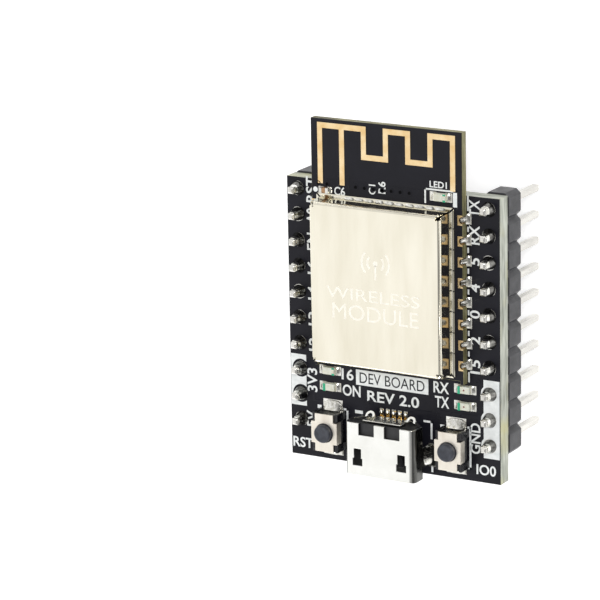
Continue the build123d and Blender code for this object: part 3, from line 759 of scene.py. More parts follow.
def make_carrier_tracks():
    """Copper tracks that lift the mask in low ridges, on both faces, with their via dimples."""
    top = bmesh.new()
    for points, width in TOP_TRACKS:
        route = [(x, SOCKET_EDGE + y) for x, y in points]
        add_ridge(top, route, width, BOARD_TOP - TRACK_SUNK, TRACK_RISE)
    # A short track runs out from each pad of the module but the first.
    out, climb, stub = 9.1, 0.35, 0.22
    for y in pad_rows[1:]:
        route = [(module_middle + 8.5, y), (out, y + climb), (out + 0.4, y + climb)]
        add_ridge(top, route, stub, BOARD_TOP - TRACK_SUNK, TRACK_RISE)
    rim, dimple, rise = 0.3, 0.13, 0.035
    for x, y in TOP_VIAS:
        rings = [circle(x, SOCKET_EDGE + y, rim, 20), circle(x, SOCKET_EDGE + y, dimple, 16)]
        stamp_outlines(top, rings, BOARD_TOP - SUNK, BOARD_TOP + rise)
    new_piece("carrier_tracks_top", top, [black_mask], sharp=50)
    under = bmesh.new()
    for points, width in UNDER_TRACKS:
        add_ridge(under, points, width, -TRACK_SUNK, TRACK_RISE)
    hang_below(under)
    new_piece("carrier_tracks_under", under, [black_mask], sharp=50)


# Part and power names on the solder side, as seen from below: text, length, x and y.
UNDER_WORDS = (
    ("GND", 2.0, -7.6, -8.9), ("3V3", 1.8, 7.8, -7.6), ("5V", 1.2, 7.9, -11.4),
    ("U2", 1.1, 0.0, 0.1), ("U3", 1.1, 2.2, 10.8), ("D1", 1.0, -4.8, 0.4),
)


def make_under_legend():
    """White print on the solder side: pin names again, and part names."""
    height = 0.85
    bm = bmesh.new()
    for side, names in PIN_NAMES.items():
        inward = 1 if side == "right" else -1
        for place, (word, length) in zip(pins[side], names):
            centre = (-place.x + inward * 2.1, place.y)
            stamp_words(bm, word, (length * 0.8, height), centre, -SUNK, INK)
    for word, length, x, y in UNDER_WORDS:
        stamp_words(bm, word, (length, height), (x, y), -SUNK, INK)
    hang_below(bm)
    new_piece("under_legend", bm, [white_ink])


# ---- Pin headers ----


def make_header(side):
    """The moulded chain of blocks, the drawn pins, and a hand-soldered joint on each pin."""
    housing = copy_of(f"header_{side}_housing")
    new_piece(f"header_{side}_moulding", housing, [header_nylon],
              stands_for=[f"header_{side}_housing"], bevel=0.09)
    wires = copy_of(f"header_{side}_pins")
    new_piece(f"header_{side}_wires", wires, [pin_wire],
              stands_for=[f"header_{side}_pins"], bevel=0.03, sharp=20)
    joints = bmesh.new()
    draw = random.Random(side)
    for place in pins[side]:
        add_pin_joint(joints, place, draw)
    new_piece(f"header_{side}_joints", joints, [painted_shade_solder, bright_solder],
              stands_for=[f"header_{side}_solder"], sharp=70)


def add_pin_joint(bm, place, draw):
    """A cone of solder that hugs its square pin, each one leaning and slumping a little differently."""
    steps = 28
    levels = 10
    shaded_levels = 6
    neck = PIN_HALF * 1.16
    flare = 1.3
    tip = 0.82
    height = PIN_TOP - BOARD_TOP - draw.uniform(0.16, 0.3)
    lean = Vector((draw.uniform(-0.07, 0.07), draw.uniform(-0.07, 0.07)))
    fat = draw.uniform(1.02, 1.08)
    lobe = draw.uniform(0, math.pi)
    rings = []
    for i in range(levels + 1):
        u = i / levels
        radius = neck + (PAD_RADIUS - neck) * (1 - u) ** flare * fat
        if i == levels:
            radius *= tip
        square = 0.1 * u
        ring = []
        for j in range(steps):
            turn = 2 * math.pi * j / steps
            wobble = 1 + 0.05 * math.cos(2 * (turn - lobe)) * (1 - u) - square * math.cos(4 * turn)
            ring.append((place.x + lean.x * u * u + radius * wobble * math.cos(turn),
                         place.y + lean.y * u * u + radius * wobble * math.sin(turn),
                         BOARD_TOP + height * u))
        rings.append(ring)
    start = len(bm.faces)
    join_rings(bm, rings)
    # The lower rings take the dark solder, and the upper rings and tip the bright one: painted shade on
    # the flanks.
    paint_faces(bm, start + shaded_levels * steps, 1)


# ---- Radio module ----


def make_module_board():
    """The thin module board: masked faces, olive edges, plated half-holes."""
    bm = copy_of("module_board")
    reach = PAD_NOTCH + 0.02
    hair = 0.005
    for face in bm.faces:
        if abs(face.normal.z) < UPRIGHT_FACE:
            middle = face.calc_center_median()
            from_side = abs(abs(middle.x - module_middle) - MODULE_HALF)
            from_end = middle.y - MODULE_END
            by_pad = min(abs(middle.y - y) for y in pad_rows) < PAD_NOTCH + 0.01
            in_side = hair <= from_side < reach and by_pad
            in_end = 0.02 < from_end < reach and abs(middle.x) < END_PADS * END_PAD_PITCH / 2 + 1
            face.material_index = 2 if in_side or in_end else 1
    new_piece("module_laminate", bm, [black_mask, module_edge, gold_plate],
              stands_for=["module_board"], bevel=0.03, rings=1)


def notched_pad(x, y, turn, half_width):
    """A pad's outline at a board edge: a rectangle with the half-hole bitten out of its edge side."""
    steps = 12
    reach = 0.5
    angles = [math.pi * i / steps for i in range(steps + 1)]
    arc = [(PAD_NOTCH * math.sin(a), PAD_NOTCH * math.cos(a)) for a in angles]
    points = [(0.0, half_width)] + arc + [(0.0, -half_width), (reach, -half_width), (reach, half_width)]
    along, across = math.cos(turn), math.sin(turn)
    return [(x + a * along - b * across, y + a * across + b * along) for a, b in points]


def make_module_metal():
    """Gold pads along the module's edges, and the folded antenna."""
    bm = bmesh.new()
    low, high = MODULE_TOP - SUNK, MODULE_TOP + PLATE
    from_edge = 0.01
    for y in pad_rows:
        for side in (-1, 1):
            edge = module_middle + side * (MODULE_HALF - from_edge)
            turn = math.pi if side > 0 else 0.0
            stamp_outlines(bm, [notched_pad(edge, y, turn, 0.48)], low, high)
    for i in range(END_PADS):
        x = module_middle + (i - (END_PADS - 1) / 2) * END_PAD_PITCH
        stamp_outlines(bm, [notched_pad(x, MODULE_END + from_edge, UPRIGHT, 0.5)], low, high)
    new_piece("module_pads", bm, [gold_plate])
    track = copy_of("antenna_track")
    new_piece("antenna_copper", track, [gold_plate],
              stands_for=["antenna_track"], bevel=0.012, rings=1)


def make_module_joints():
    """Solder that climbs from the carrier's pads into the half-holes, and spreads at its foot."""
    in_hole = 0.22
    for side, sign in (("left", -1), ("right", 1)):
        bm = bmesh.new()
        draw = random.Random(f"{side} joints")
        edge = module_middle + sign * MODULE_HALF
        turn = 0.0 if sign > 0 else math.pi
        for y in pad_rows:
            height = (MODULE_TOP - BOARD_TOP) * draw.uniform(0.86, 0.97)
            foot = (edge - sign * in_hole, y + draw.uniform(-0.03, 0.03), BOARD_TOP + PLATE)
            add_fillet(bm, foot, turn, draw.uniform(0.6, 0.68), 0.62, height)
            foot = (edge + sign * 0.03, y, BOARD_TOP + PLATE)
            add_fillet(bm, foot, turn, 0.98, 0.42, 0.34 * height)
        new_piece(f"module_{side}_joints", bm, [bright_solder],
                  stands_for=[f"module_{side}_solder"], sharp=60)


# The ground copper's vias: their pitch, rim and dimple.
VIA_PITCH = 0.95
VIA_RIM = 0.26
VIA_DIMPLE = 0.17


def make_module_pour():
    """The ground copper's raised border under the mask, and its row of via dimples."""
    bm = bmesh.new()
    line = can_high.y + 1.35
    border = MODULE_TOP + 0.022
    left, right = module_low.x + 0.25, module_high.x - 0.25
    feed = track_low.x + 2.6
    for x0, x1 in ((left, feed - 0.35), (feed + 0.95, right - 3.7)):
        add_bar(bm, x0, can_high.y + 0.02, x1, line, MODULE_TOP - SUNK, border)
        for i in range(int((x1 - x0 - 0.3) / VIA_PITCH)):
            x = x0 + 0.5 + i * VIA_PITCH
            y = line - 0.45
            dimple = circle(x, y, VIA_DIMPLE, 14)
            stamp_outlines(bm, [circle(x, y, VIA_RIM, 18), dimple], border - SUNK, border + 0.03)
            # The dimple's floor takes the darker copy of the mask: painted shade.
            stamp_outlines(bm, [dimple], border - SUNK, border + 0.003, 1)
    # Capacitor feeds run from the antenna's two legs, and a track runs along each row of pads.
    ridge_foot = MODULE_TOP - 0.004
    ridge_rise = 0.02
    for x in (feed - 0.1, feed + 0.7):
        add_ridge(bm, [(x, line + 0.5), (x, can_high.y + 0.1)], 0.14, ridge_foot, ridge_rise)
    for side in (-1, 1):
        x = module_middle + side * (MODULE_HALF - 0.75)
        add_ridge(bm, [(x, pad_rows[0] + 0.8), (x, pad_rows[-1] - 0.8)], 0.2, ridge_foot, ridge_rise)
    new_piece("module_pour", bm, [black_mask, via_shade_mask], sharp=50)


def make_module_legend():
    """White print on the module: a corner dot, part names, and three sides of the light's box."""
    bm = bmesh.new()
    low, high = MODULE_TOP - SUNK, MODULE_TOP + INK
    edge = can_high.y
    stamp_outlines(bm, [circle(module_low.x + 0.42, edge + 0.28, 0.25, 24)], low, high)
    stamp_words(bm, "C6", (1.15, 0.85), (-5.07, edge + 0.33), low, high)
    stamp_words(bm, "C1", (0.95, 0.72), (-1.57, edge + 0.86), low, high, UPRIGHT)
    stamp_words(bm, "R6", (1.15, 0.78), (-0.54, edge + 1.15), low, high, UPRIGHT)
    stamp_words(bm, "LED1", (1.8, 0.62), (5.4, edge + 2.02), low, high)
    led_low, led_high = corners_mm("module_led")
    x0, x1 = led_low.x - 0.95, led_high.x + 0.85
    y0, y1 = edge + 0.05, led_high.y + 0.3
    line = 0.16
    band = 0.42
    add_bar(bm, x0, y0 + 0.1, x0 + line, y1, low, high)
    add_bar(bm, x0, y1 - line, x1, y1, low, high)
    add_bar(bm, x1 - band, y0, x1, y1, low, high)
    new_piece("module_legend", bm, [white_ink])


def add_wave(bm, x, y, radius, facing, low, high):
    """One arc of a radio sign, as a band round its centre."""
    stroke = 0.2
    half_sweep = math.radians(42)
    steps = 12
    angles = [facing - half_sweep + 2 * half_sweep * i / steps for i in range(steps + 1)]
    edges = [(radius + stroke, angles), (radius, angles[::-1])]
    outline = [(x + r * math.cos(a), y + r * math.sin(a)) for r, turns in edges for a in turns]
    stamp_outlines(bm, [outline], low, high)


def make_can():
    """The folded lid, its laser marking, and the solder that runs round its foot."""
    lid = copy_of("shield_can")
    new_piece("shield_lid", lid, [can_sheet], stands_for=["shield_can"], sharp=35)
    marks = bmesh.new()
    low, high = can_high.z - SUNK, can_high.z + MARK
    middle = (can_low.x + can_high.x) / 2 + 0.1
    base = can_low.y
    stamp_words(marks, "WIRELESS", (9.9, 1.15), (middle - 0.3, base + 7.52), low, high, weight=0.0)
    stamp_words(marks, "MODULE", (9.2, 1.5), (middle - 0.05, base + 5.77), low, high, weight=0.0)
    # A plain mast with two waves each side.
    x, y = middle + 0.03, base + 10.77
    stamp_outlines(marks, [circle(x, y, 0.26, 20)], low, high)
    add_bar(marks, x - 0.1, y - 1.6, x + 0.1, y - 0.2, low, high)
    for facing in (0.0, math.pi):
        for radius in (0.75, 1.35):
            add_wave(marks, x, y, radius, facing, low, high)
    new_piece("shield_marking", marks, [can_mark])
    make_can_solder()


def make_can_solder():
    """An uneven bead along the can's foot, broken by small dark flux pits."""
    bm = bmesh.new()
    draw = random.Random("can bead")
    level = MODULE_TOP + 0.14
    bead_length = 1.0
    pit_count, pit_pitch, pit_radius = 7, 2.0, 0.07
    inset = 0.34
    inner_x = can_low.x + inset
    inner_y = can_low.y + inset
    top_y = can_high.y - inset + 0.02
    runs = [
        ((can_low.x + 3.0, top_y), (can_high.x - 0.9, top_y), UPRIGHT),
        ((inner_x, can_low.y + 0.9), (inner_x, can_high.y - 0.9), math.pi),
        ((can_low.x + 0.9, inner_y), (can_high.x - 0.9, inner_y), -UPRIGHT),
    ]
    for start, stop, turn in runs:
        start, stop = Vector(start), Vector(stop)
        count = int((stop - start).length / bead_length)
        for i in range(count):
            spot = start.lerp(stop, (i + 0.5) / count)
            add_fillet(bm, (spot.x, spot.y, level), turn, draw.uniform(0.85, 1.1),
                       draw.uniform(0.24, 0.32), draw.uniform(0.1, 0.28), droop=0.7)
    pits = len(bm.faces)
    for i in range(pit_count):
        pit = circle(can_high.x - 0.08, can_low.y + 2.4 + i * pit_pitch, pit_radius, 14)
        stamp_outlines(bm, [pit], level, level + 0.02)
    paint_faces(bm, pits, 1)
    new_piece("shield_bead", bm, [bright_solder, black_mask], sharp=60)


# ---- Small parts with soldered ends ----


def add_chip_part(bm, low, high, ends=0.22):
    """A ceramic part: a glazed body (0) with two plated end caps (1) that wrap it slightly proud."""
    wall = 0.02
    cap = (high[0] - low[0]) * ends
    body_low = (low[0] + cap * 0.8, low[1] + wall, low[2])
    body_high = (high[0] - cap * 0.8, high[1] - wall, high[2] - wall)
    add_block(bm, body_low, body_high, 0)
    add_block(bm, low, (low[0] + cap, high[1], high[2]), 1)
    add_block(bm, (high[0] - cap, low[1], low[2]), high, 1)


def add_end_joints(bm, low, high, reach, finish, base, climb=0.75):
    """Solder on both ends of a part: a pad under each, and a fillet that climbs the end."""
    middle = (low[1] + high[1]) / 2
    for sign, end in ((-1, low[0]), (1, high[0])):
        x0, x1 = sorted((end - sign * 0.3, end + sign * reach))
        add_pad(bm, x0, low[1] - 0.04, x1, high[1] + 0.04, base, finish)
        turn = 0.0 if sign > 0 else math.pi
        add_fillet(bm, (end, middle, base + PLATE), turn, (high[1] - low[1]) * 0.94, reach * 0.9,
                   (high[2] - low[2]) * climb, finish)


# For each light: where its green mark lies, from -1 at its left end to 1 at its right, whether the mark
# is a full band, and whether the die shows.
LIGHTS = {
    "user_led": (0.62, False, False),
    "power_led": (-0.6, True, False),
    "receive_led": (-0.6, True, True),
    "send_led": (-0.6, True, True),
    "module_led": (0.62, False, False),
}


def make_light(node):
    """A chip light: white carrier, cast cream lens, plated ends, green polarity mark, solder."""
    mark_at, band, die = LIGHTS[node]
    low, high = corners_mm(node)
    base = MODULE_TOP if node == "module_led" else BOARD_TOP
    bm = bmesh.new()
    middle = (low + high) / 2
    half = (high.x - low.x) / 2
    step = low.z + 0.16
    add_block(bm, (low.x + 0.1, low.y + 0.02, low.z), (high.x - 0.1, high.y - 0.02, step), 1)
    lens = half * 0.8
    add_block(bm, (middle.x - lens, low.y + 0.01, step), (middle.x + lens, high.y - 0.01, high.z),
              draft=0.05)
    for sign in (-1, 1):
        x0, x1 = sorted((middle.x + sign * half * 0.84, middle.x + sign * half))
        add_block(bm, (x0, low.y, low.z), (x1, high.y, step + 0.05), 2)
    # The mark is one band that runs down the front of the lens, or two short dashes.
    x0 = middle.x + mark_at * half - 0.14
    x1 = x0 + 0.28
    ink_low, ink_high = high.z - SUNK, high.z + 0.012
    if band:
        add_block(bm, (x0, low.y + 0.05, ink_low), (x1, high.y - 0.05, ink_high), 3)
        add_block(bm, (x0, low.y - 0.004, step + 0.02), (x1, low.y + 0.06, high.z - 0.02), 3)
    else:
        for y0, y1 in ((low.y + 0.03, low.y + 0.2), (high.y - 0.2, high.y - 0.03)):
            add_block(bm, (x0, y0, ink_low), (x1, y1, ink_high), 3)
    if die:
        spot = circle(middle.x + 0.05, middle.y, 0.085, 14)
        stamp_outlines(bm, [spot], high.z - SUNK, high.z + 0.008, 4)
    add_end_joints(bm, (low.x + 0.05, low.y, low.z), (high.x - 0.05, high.y, high.z), 0.42, 5, base, 0.4)
    new_piece(f"{node}_lamp", bm,
              [lamp_resin, lamp_carrier, tin_plate, polarity_ink, die_spot, bright_solder],
              stands_for=[node], bevel=0.02, rings=1)


def make_small_parts():
    """The capacitor by the antenna, the parts under the lid, and those under the carrier."""
    finishes = [tan_ceramic, tin_plate, bright_solder]
    dark = [black_glaze, tin_plate, bright_solder]
    low, high = corners_mm("antenna_capacitor")
    bm = bmesh.new()
    add_chip_part(bm, low, high, ends=0.3)
    add_end_joints(bm, low, high, 0.22, 2, MODULE_TOP, 0.8)
    new_piece("antenna_matching_part", bm, finishes,
              stands_for=["antenna_capacitor"], bevel=0.03)
    bm = bmesh.new()
    for low, high in solids_of("module_passives"):
        add_chip_part(bm, low, high)
    new_piece("module_chip_parts", bm, finishes, stands_for=["module_passives"], bevel=0.03)
    for node, kinds in (("supply_capacitors", finishes), ("board_resistors", dark)):
        bm = bmesh.new()
        for low, high in solids_of(node):
            below = seen_from_below(low, high)
            add_chip_part(bm, *below)
            add_end_joints(bm, *below, 0.3, 2, 0.0, 0.6)
        hang_below(bm)
        new_piece(f"{node}_parts", bm, kinds, stands_for=[node], bevel=0.04)


# ---- Micro-USB socket ----


def make_socket():
    """The shell, its rear ears and cover plate, the insulator, the contacts, and their solder."""
    make_socket_shell()
    make_socket_rear()
    block = copy_of("usb_insulator")
    new_piece("socket_insulator", block, [socket_plastic],
              stands_for=["usb_insulator"], bevel=0.03, rings=1)
    strips = copy_of("usb_contacts")
    new_piece("socket_contacts", strips, [contact_gold],
              stands_for=["usb_contacts"], bevel=0.02, rings=1)
    make_tail_joints()
    make_tab_joints()


def make_socket_shell():
    """The drawn shell: bright steel outside, and darker copies of the same steel on its folded sides and
    inside, as painted shade.
    """
    shell = copy_of("usb_shell")
    centre = (usb_low + usb_high) / 2
    for face in shell.faces:
        middle = face.calc_center_median()
        away = Vector((middle.x - centre.x, 0.0, middle.z - centre.z))
        inside = face.normal.dot(away) < 0 and abs(face.normal.y) < 0.5
        folded = abs(face.normal.x) > 0.5
        # Inner faces take a dull grey copy of the steel and the side walls a darker grey copy: both are
        # painted shade.
        face.material_index = 1 if inside else 2 if folded else 0
    new_piece("socket_shell", shell, [usb_steel, shaded_steel, shaded_side_steel],
              stands_for=["usb_shell"], bevel=0.06, sharp=40)


def make_socket_rear():
    """Two lugs, and a thin cover plate bent down behind the insulator, with a bowed lower edge."""
    contacts = solids_of("usb_contacts")
    middle = sum((low.x + high.x) / 2 for low, high in contacts) / len(contacts)
    rear = usb_high.y
    ears = bmesh.new()
    for side in (-1, 1):
        add_ear(ears, middle + 0.2 + side * 2.2, rear - 0.1, BOARD_TOP + 0.7, side)
    half_width = 2.05
    bow_depth = 0.25
    upper, lower = usb_high.z - 0.55, BOARD_TOP + 0.75
    count = 16
    across = [2 * i / count - 1 for i in range(count + 1)]
    outline = [(middle + half_width * t, lower + bow_depth * t ** 2) for t in across]
    outline += [(middle + half_width, upper), (middle - half_width, upper)]
    join_rings(ears, [[(x, y, z) for x, z in outline] for y in (rear + 0.24, rear + 0.14)], 1)
    new_piece("socket_ears", ears, [usb_steel, tin_plate], bevel=0.03)


def make_tail_joints():
    """A tinned pad under each contact's tail, and a blob over its outer end."""
    bm = bmesh.new()
    draw = random.Random("tails")
    for low, high in solids_of("usb_contacts"):
        x = (low.x + high.x) / 2
        add_pad(bm, x - 0.2, high.y - 0.7, x + 0.2, high.y + 0.1, BOARD_TOP)
        blob = (0.19, 0.36, draw.uniform(0.2, 0.26))
        add_blob(bm, (x, high.y - 0.28, BOARD_TOP + PLATE), blob, 1)
    new_piece("socket_tail_joints", bm, [tin_plate, bright_solder], sharp=60)


def make_tab_joints():
    """The solder that holds the shell's side tabs, on its pads."""
    bm = bmesh.new()
    for low, high in solids_of("usb_solder"):
        sign = 1 if low.x > 0 else -1
        wall = high.x if sign < 0 else low.x
        outer = low.x - 0.1 if sign < 0 else high.x + 0.1
        x0, x1 = sorted((wall - sign * 0.1, outer + sign * 0.14))
        add_pad(bm, x0, low.y - 0.35, x1, high.y + 0.35, BOARD_TOP)
        turn = 0.0 if sign > 0 else math.pi
        foot = (wall - sign * 0.08, (low.y + high.y) / 2, BOARD_TOP + PLATE)
        add_fillet(bm, foot, turn, high.y - low.y + 0.3, abs(outer - wall) + 0.1, 1.15, 1,
                   sections=13, droop=0.5)
    new_piece("socket_tab_joints", bm, [tin_plate, bright_solder],
              stands_for=["usb_solder"], sharp=60)


def add_ear(bm, x, y, z, side):
    """A small arched lug, bent up from the shell's rear edge and leaning back."""
    steps = 12
    outer, inner, sheet = 0.5, 0.24, 0.2
    lean = math.radians(38)
    first, sweep = math.radians(-25), math.radians(230)
    rings = []
    for i in range(steps + 1):
        turn = first + sweep * i / steps
        section = []
        for radius, depth in ((inner, 0.0), (outer, 0.0), (outer, sheet), (inner, sheet)):
            across = radius * math.cos(turn) * side
            up = radius * math.sin(turn)
            out_y = up * math.cos(lean) + depth * math.sin(lean)
            out_z = -up * math.sin(lean) + depth * math.cos(lean)
            section.append((x + across, y + out_y + 0.28, z + out_z + 0.25))
        rings.append(section if side > 0 else section[::-1])
    join_rings(bm, rings)


def add_blob(bm, foot, size, finish=0):
    """A half drop of solder with an oval foot."""
    steps, levels = 20, 6
    rings = []
    for i in range(levels):
        rise = math.pi / 2 * i / levels
        ring = []
        for j in range(steps):
            turn = 2 * math.pi * j / steps
            ring.append((foot[0] + size[0] * math.cos(rise) * math.cos(turn),
                         foot[1] + size[1] * math.cos(rise) * math.sin(turn),
                         foot[2] + size[2] * math.sin(rise)))
        rings.append(ring)
    join_rings(bm, rings, finish)


# ---- Push buttons ----


def make_button(name):
    """A tactile switch: jet body, stamped cover, plunger, snap dome, and its two soldered strips."""
    base = copy_of(f"{name}_button_base")
    new_piece(f"{name}_body", base, [button_nylon],
              stands_for=[f"{name}_button_base"], bevel=0.05)
    cover = copy_of(f"{name}_button_cover")
    new_piece(f"{name}_cover", cover, [button_sheet],
              stands_for=[f"{name}_button_cover"], bevel=0.045)
    make_corner_posts(name)
    make_plunger(name)
    make_snap_dome(name)
    make_strips(name)


def make_corner_posts(name):
    """Corner posts of the body that fill the cover's cut corners."""
    floor = corners_mm(f"{name}_button_base")[0].z
    low, high = corners_mm(f"{name}_button_cover")
    width, length = 0.34, 0.77
    inside_x, past_y = 0.02, 0.05
    below_cover = 0.22
    bm = bmesh.new()
    for x, in_x in ((low.x, 1), (high.x, -1)):
        for y, in_y in ((low.y, 1), (high.y, -1)):
            x0, x1 = sorted((x + in_x * inside_x, x + in_x * (inside_x + width)))
            y0, y1 = sorted((y - in_y * past_y, y + in_y * (length - past_y)))
            add_block(bm, (x0, y0, floor), (x1, y1, high.z - below_cover))
    new_piece(f"{name}_corner_posts", bm, [button_nylon], bevel=0.05)


def make_snap_dome(name):
    """The dished spring under the plunger, drawn unpressed."""
    dome = new_piece(f"{name}_snap_dome", copy_of(f"{name}_button_dome"), [dome_steel],
                     stands_for=[f"{name}_button_dome"], sharp=60)
    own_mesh(dome)


def make_strips(name):
    """The two terminal strips, each on its pad with solder climbing from it."""
    cover_low, cover_high = corners_mm(f"{name}_button_cover")
    fillet_width = 1.8
    bm = bmesh.new()
    for low, high in solids_of(f"{name}_button_terminals"):
        sign = 1 if low.y > (cover_low.y + cover_high.y) / 2 else -1
        add_block(bm, low, high)
        x = (low.x + high.x) / 2
        outer = high.y if sign > 0 else low.y
        pad_out = 0.3 if sign > 0 else 0.05
        y0, y1 = sorted((outer - sign * 0.7, outer + sign * pad_out))
        half = (high.x - low.x) / 2 + 0.06
        add_pad(bm, x - half, y0, x + half, y1, BOARD_TOP)
        turn = UPRIGHT if sign > 0 else -UPRIGHT
        wall = cover_high.y if sign > 0 else cover_low.y
        add_fillet(bm, (x, wall + sign * 0.03, high.z - 0.02), turn, fillet_width,
                   abs(outer - wall) + pad_out * 0.6, 0.42, 1, sections=13, droop=0.4)
    new_piece(f"{name}_strips", bm, [tin_plate, bright_solder],
              stands_for=[f"{name}_button_terminals"], bevel=0.03, sharp=40)


def make_plunger(name):
    """The turned plunger: a rounded rim round a face that is dished a hair."""
    low, high = corners_mm(f"{name}_button_plunger")
    flange = (high.x - low.x) / 2
    flange_top = corners_mm(f"{name}_button_cover")[1].z - 0.18
    flange_foot = flange_top - 0.2
    head = flange - 0.14
    rim = 0.16
    rim_steps = 5
    # The profile from the foot up, as radius and level.
    profile = [(head * 0.9, low.z), (head, low.z + 0.06), (head, flange_foot), (flange, flange_foot),
               (flange, flange_top), (head, flange_top), (head, high.z - rim)]
    for i in range(1, rim_steps + 1):
        turn = math.pi / 2 * i / rim_steps
        profile.append((head - rim + rim * math.cos(turn), high.z - rim + rim * math.sin(turn)))
    for share, dish in ((0.7, 0.02), (0.4, 0.035), (0.12, 0.04)):
        profile.append((head * share, high.z - dish))
    x, y = (low.x + high.x) / 2, (low.y + high.y) / 2
    rings = []
    for radius, level in profile:
        rings.append([(a, b, level) for a, b in circle(x, y, radius, 48)])
    bm = bmesh.new()
    join_rings(bm, rings)
    new_piece(f"{name}_plunger", bm, [plunger_acetal], body=f"{name}_plunger",
              stands_for=[f"{name}_button_plunger"], sharp=50)


# ---- Chips ----


def add_moulded_body(bm, low, high):
    """A transfer-moulded body: two drafted halves that meet at the parting line."""
    draft = 0.07
    part = low[2] + (high[2] - low[2]) * 0.45
    add_block(bm, (low[0], low[1], part), high, draft=draft)
    foot = rectangle(low[0] + draft, low[1] + draft, high[0] - draft, high[1] - draft)
    widest = rectangle(low[0], low[1], high[0], high[1])
    join_rings(bm, [[(x, y, low[2]) for x, y in foot], [(x, y, part) for x, y in widest]])


def make_hidden_chips():
    """The radio chip, its memory and the crystal, which sit under the lid."""
    for node, words in (("radio_chip", "RF"), ("flash_chip", "MEM")):
        low, high = corners_mm(node)
        mark_low, mark_high = high.z - SUNK, high.z + MARK
        bm = bmesh.new()
        add_moulded_body(bm, low, high)
        fit = ((high.x - low.x) * 0.5, 0.9)
        stamp_words(bm, words, fit, ((low + high) / 2).xy, mark_low, mark_high, finish=1)
        stamp_outlines(bm, [circle(low.x + 0.6, high.y - 0.6, 0.2, 20)], mark_low, mark_high, 1)
        new_piece(f"{node}_body", bm, [chip_epoxy, chip_mark], stands_for=[node],
                  bevel=0.03)
    low, high = corners_mm("crystal")
    inset = Vector((0.15, 0.15, 0))
    step = Vector((0, 0, 0.3))
    bm = bmesh.new()
    add_block(bm, low, Vector((high.x, high.y, low.z)) + step)
    add_block(bm, low + inset + step, high - inset, draft=0.04)
    new_piece("crystal_can", bm, [usb_steel], stands_for=["crystal"], bevel=0.05)


# The chips under the carrier: body and leg nodes, their marking, and its length.
UNDER_CHIPS = (
    ("usb_bridge_chip", "usb_bridge_legs", "USB", 2.2),
    ("voltage_regulator", "regulator_legs", "3.3 V", 3.4),
    ("reset_transistors", "transistor_legs", "Q", 0.5),
)


def make_under_chips():
    """The serial bridge, the regulator and two transistors, with their legs and joints."""
    for bodies, legs, words, length in UNDER_CHIPS:
        bm = bmesh.new()
        for box in solids_of(bodies):
            low, high = seen_from_below(*box)
            mark_low, mark_high = high.z - SUNK, high.z + MARK
            add_moulded_body(bm, low, high)
            turn = UPRIGHT if high.y - low.y > high.x - low.x else 0.0
            centre = ((low + high) / 2).xy
            stamp_words(bm, words, (length, 0.8), centre, mark_low, mark_high, turn, finish=1)
            stamp_outlines(bm, [circle(low.x + 0.35, high.y - 0.35, 0.13, 16)], mark_low, mark_high, 1)
        hang_below(bm)
        new_piece(f"{bodies}_body", bm, [chip_epoxy, chip_mark],
                  stands_for=[bodies], bevel=0.03)
        new_piece(f"{legs}_bent", copy_of(legs), [leg_tin], stands_for=[legs], bevel=0.03)
        joints = bmesh.new()
        for low, high in solids_of(legs):
            add_leg_joint(joints, low, high)
        hang_below(joints)
        new_piece(f"{legs}_joints", joints, [tin_plate, bright_solder], sharp=60)


def make_input_diode():
    """A moulded diode with its marked end, its two bent ends and their solder."""
    low, high = seen_from_below(*corners_mm("input_diode"))
    lead_foot, lead_side, lead_height = 0.5, 0.55, 0.9
    bm = bmesh.new()
    add_moulded_body(bm, low + Vector((0.25, 0, 0.12)), high - Vector((0.25, 0, 0)))
    band_low = (low.x + 0.75, low.y + 0.12, high.z - SUNK)
    band_high = (low.x + 1.15, high.y - 0.12, high.z + 0.006)
    add_block(bm, band_low, band_high, 1)
    for sign, x in ((-1, low.x), (1, high.x)):
        x0, x1 = sorted((x, x - sign * lead_foot))
        add_block(bm, (x0, low.y + lead_side, 0.0), (x1, high.y - lead_side, lead_height), 2)
    add_end_joints(bm, low + Vector((0, 0.5, 0)), high - Vector((0, 0.5, 1.2)), 0.45, 3, 0.0)
    hang_below(bm)
    new_piece("input_diode_body", bm, [chip_epoxy, chip_mark, leg_tin, bright_solder],
              stands_for=["input_diode"], bevel=0.04)


def add_leg_joint(bm, low, high):
    """A tinned pad and a low half drop of solder under a bent leg's foot, drawn as seen from below."""
    wide = high.x - low.x > high.y - low.y
    x, y = -(low.x + high.x) / 2, (low.y + high.y) / 2
    past_end, past_side = 0.2, 0.08
    half_x = (high.x - low.x) / 2 + (past_end if wide else past_side)
    half_y = (high.y - low.y) / 2 + (past_side if wide else past_end)
    add_pad(bm, x - half_x, y - half_y, x + half_x, y + half_y, 0.0)
    add_blob(bm, (x, y, PLATE), (half_x * 0.92, half_y * 0.92, 0.14), 1)


# ---- Everything in order ----

make_carrier_board()
make_carrier_pads()
make_carrier_tracks()
make_carrier_legend()
make_under_legend()
for side_name in ("left", "right"):
    make_header(side_name)
make_module_board()
make_module_metal()
make_module_pour()
make_module_joints()
make_module_legend()
make_can()
for light_node in LIGHTS:
    make_light(light_node)
make_small_parts()
make_socket()
for button_name in ("reset", "boot"):
    make_button(button_name)
make_hidden_chips()
make_under_chips()
make_input_diode()


# ---- Table, light and camera, in metres ----


def make_table():
    """A wide round table top with a softened rim, level with the pin tips."""
    reach = 1.2
    thickness = 0.03
    rim = 0.004
    bm = bmesh.new()
    rings = []
    for radius, level in ((reach, -thickness), (reach, -rim), (reach - rim, 0.0)):
        rings.append([(a, b, level) for a, b in circle(0, 0, radius, 96)])
    join_rings(bm, rings)
    mesh = bpy.data.meshes.new("table_top")
    bm.to_mesh(mesh)
    bm.free()
    mesh.materials.append(table_paint)
    table = bpy.data.objects.new("table_top", mesh)
    bpy.context.scene.collection.objects.link(table)


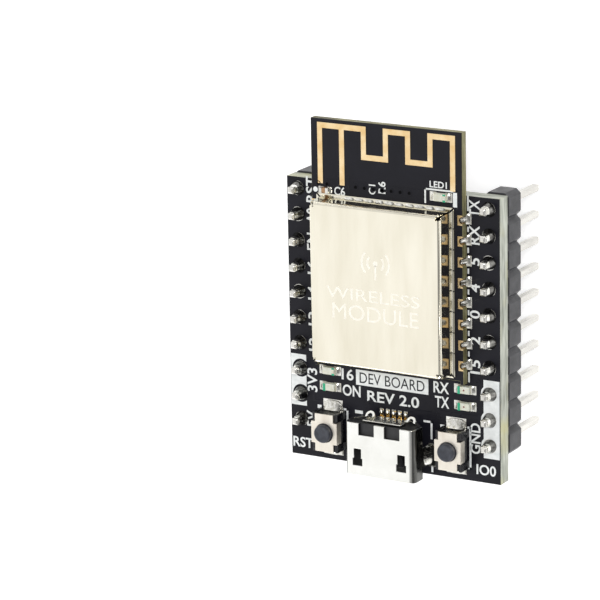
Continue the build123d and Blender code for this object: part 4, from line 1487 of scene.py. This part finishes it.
def make_softbox(name, place, size, power):
    """A square soft light that faces the board."""
    light = bpy.data.lights.new(name, "AREA")
    light.size = size
    light.energy = power
    holder = bpy.data.objects.new(name, light)
    holder.location = place
    holder.rotation_euler = (-Vector(place)).to_track_quat("-Z", "Y").to_euler()
    bpy.context.scene.collection.objects.link(holder)


def make_surroundings():
    """A pale studio all round, dimmer in the opening of the room on the +X +Y side."""
    world = bpy.data.worlds.new("pale_studio")
    world.use_nodes = True
    bpy.context.scene.world = world
    tree = world.node_tree
    place = add_node(tree, "ShaderNodeTexCoord")
    opening = Vector((0.5, 0.32, 0.8)).normalized()
    fade_starts, fade_full = 0.38, 0.85
    pale, dim = 1.12, 0.15
    toward = add_node(tree, "ShaderNodeVectorMath", {
        0: place.outputs["Generated"], 1: opening}, operation="DOT_PRODUCT")
    fade = add_node(tree, "ShaderNodeMapRange", {
        "Value": toward.outputs["Value"], "From Min": fade_starts, "From Max": fade_full,
        "To Min": pale, "To Max": dim})
    backdrop = tree.nodes["Background"]
    backdrop.inputs["Color"].default_value = linear("#ffffff")
    tree.links.new(fade.outputs["Result"], backdrop.inputs["Strength"])


def make_camera():
    """Stands off the board's +X +Y corner, high up, with the antenna end towards the top."""
    place = Vector((153.55, 88.57, 291.63)) * MM
    ahead = Vector((-0.48518, -0.26140, -0.83443)).normalized()
    image_up = Vector((-0.11472, 0.96505, -0.23561)).normalized()
    data = bpy.data.cameras.new("camera")
    data.sensor_width = 36.0
    data.lens = 211.5
    data.clip_start = 0.01
    data.clip_end = 10.0
    camera = bpy.data.objects.new("camera", data)
    right = ahead.cross(image_up).normalized()
    axes = Matrix((right, right.cross(ahead), -ahead)).transposed()
    camera.matrix_world = Matrix.Translation(place) @ axes.to_4x4()
    bpy.context.scene.collection.objects.link(camera)
    bpy.context.scene.camera = camera


make_table()
make_surroundings()
make_softbox("key_softbox", (0.44, 0.27, 0.72), size=0.36, power=4.0)
make_softbox("front_left_softbox", (-0.5, -0.6, 0.25), size=0.3, power=1.0)
make_camera()
bpy.context.scene.view_settings.view_transform = "Standard"
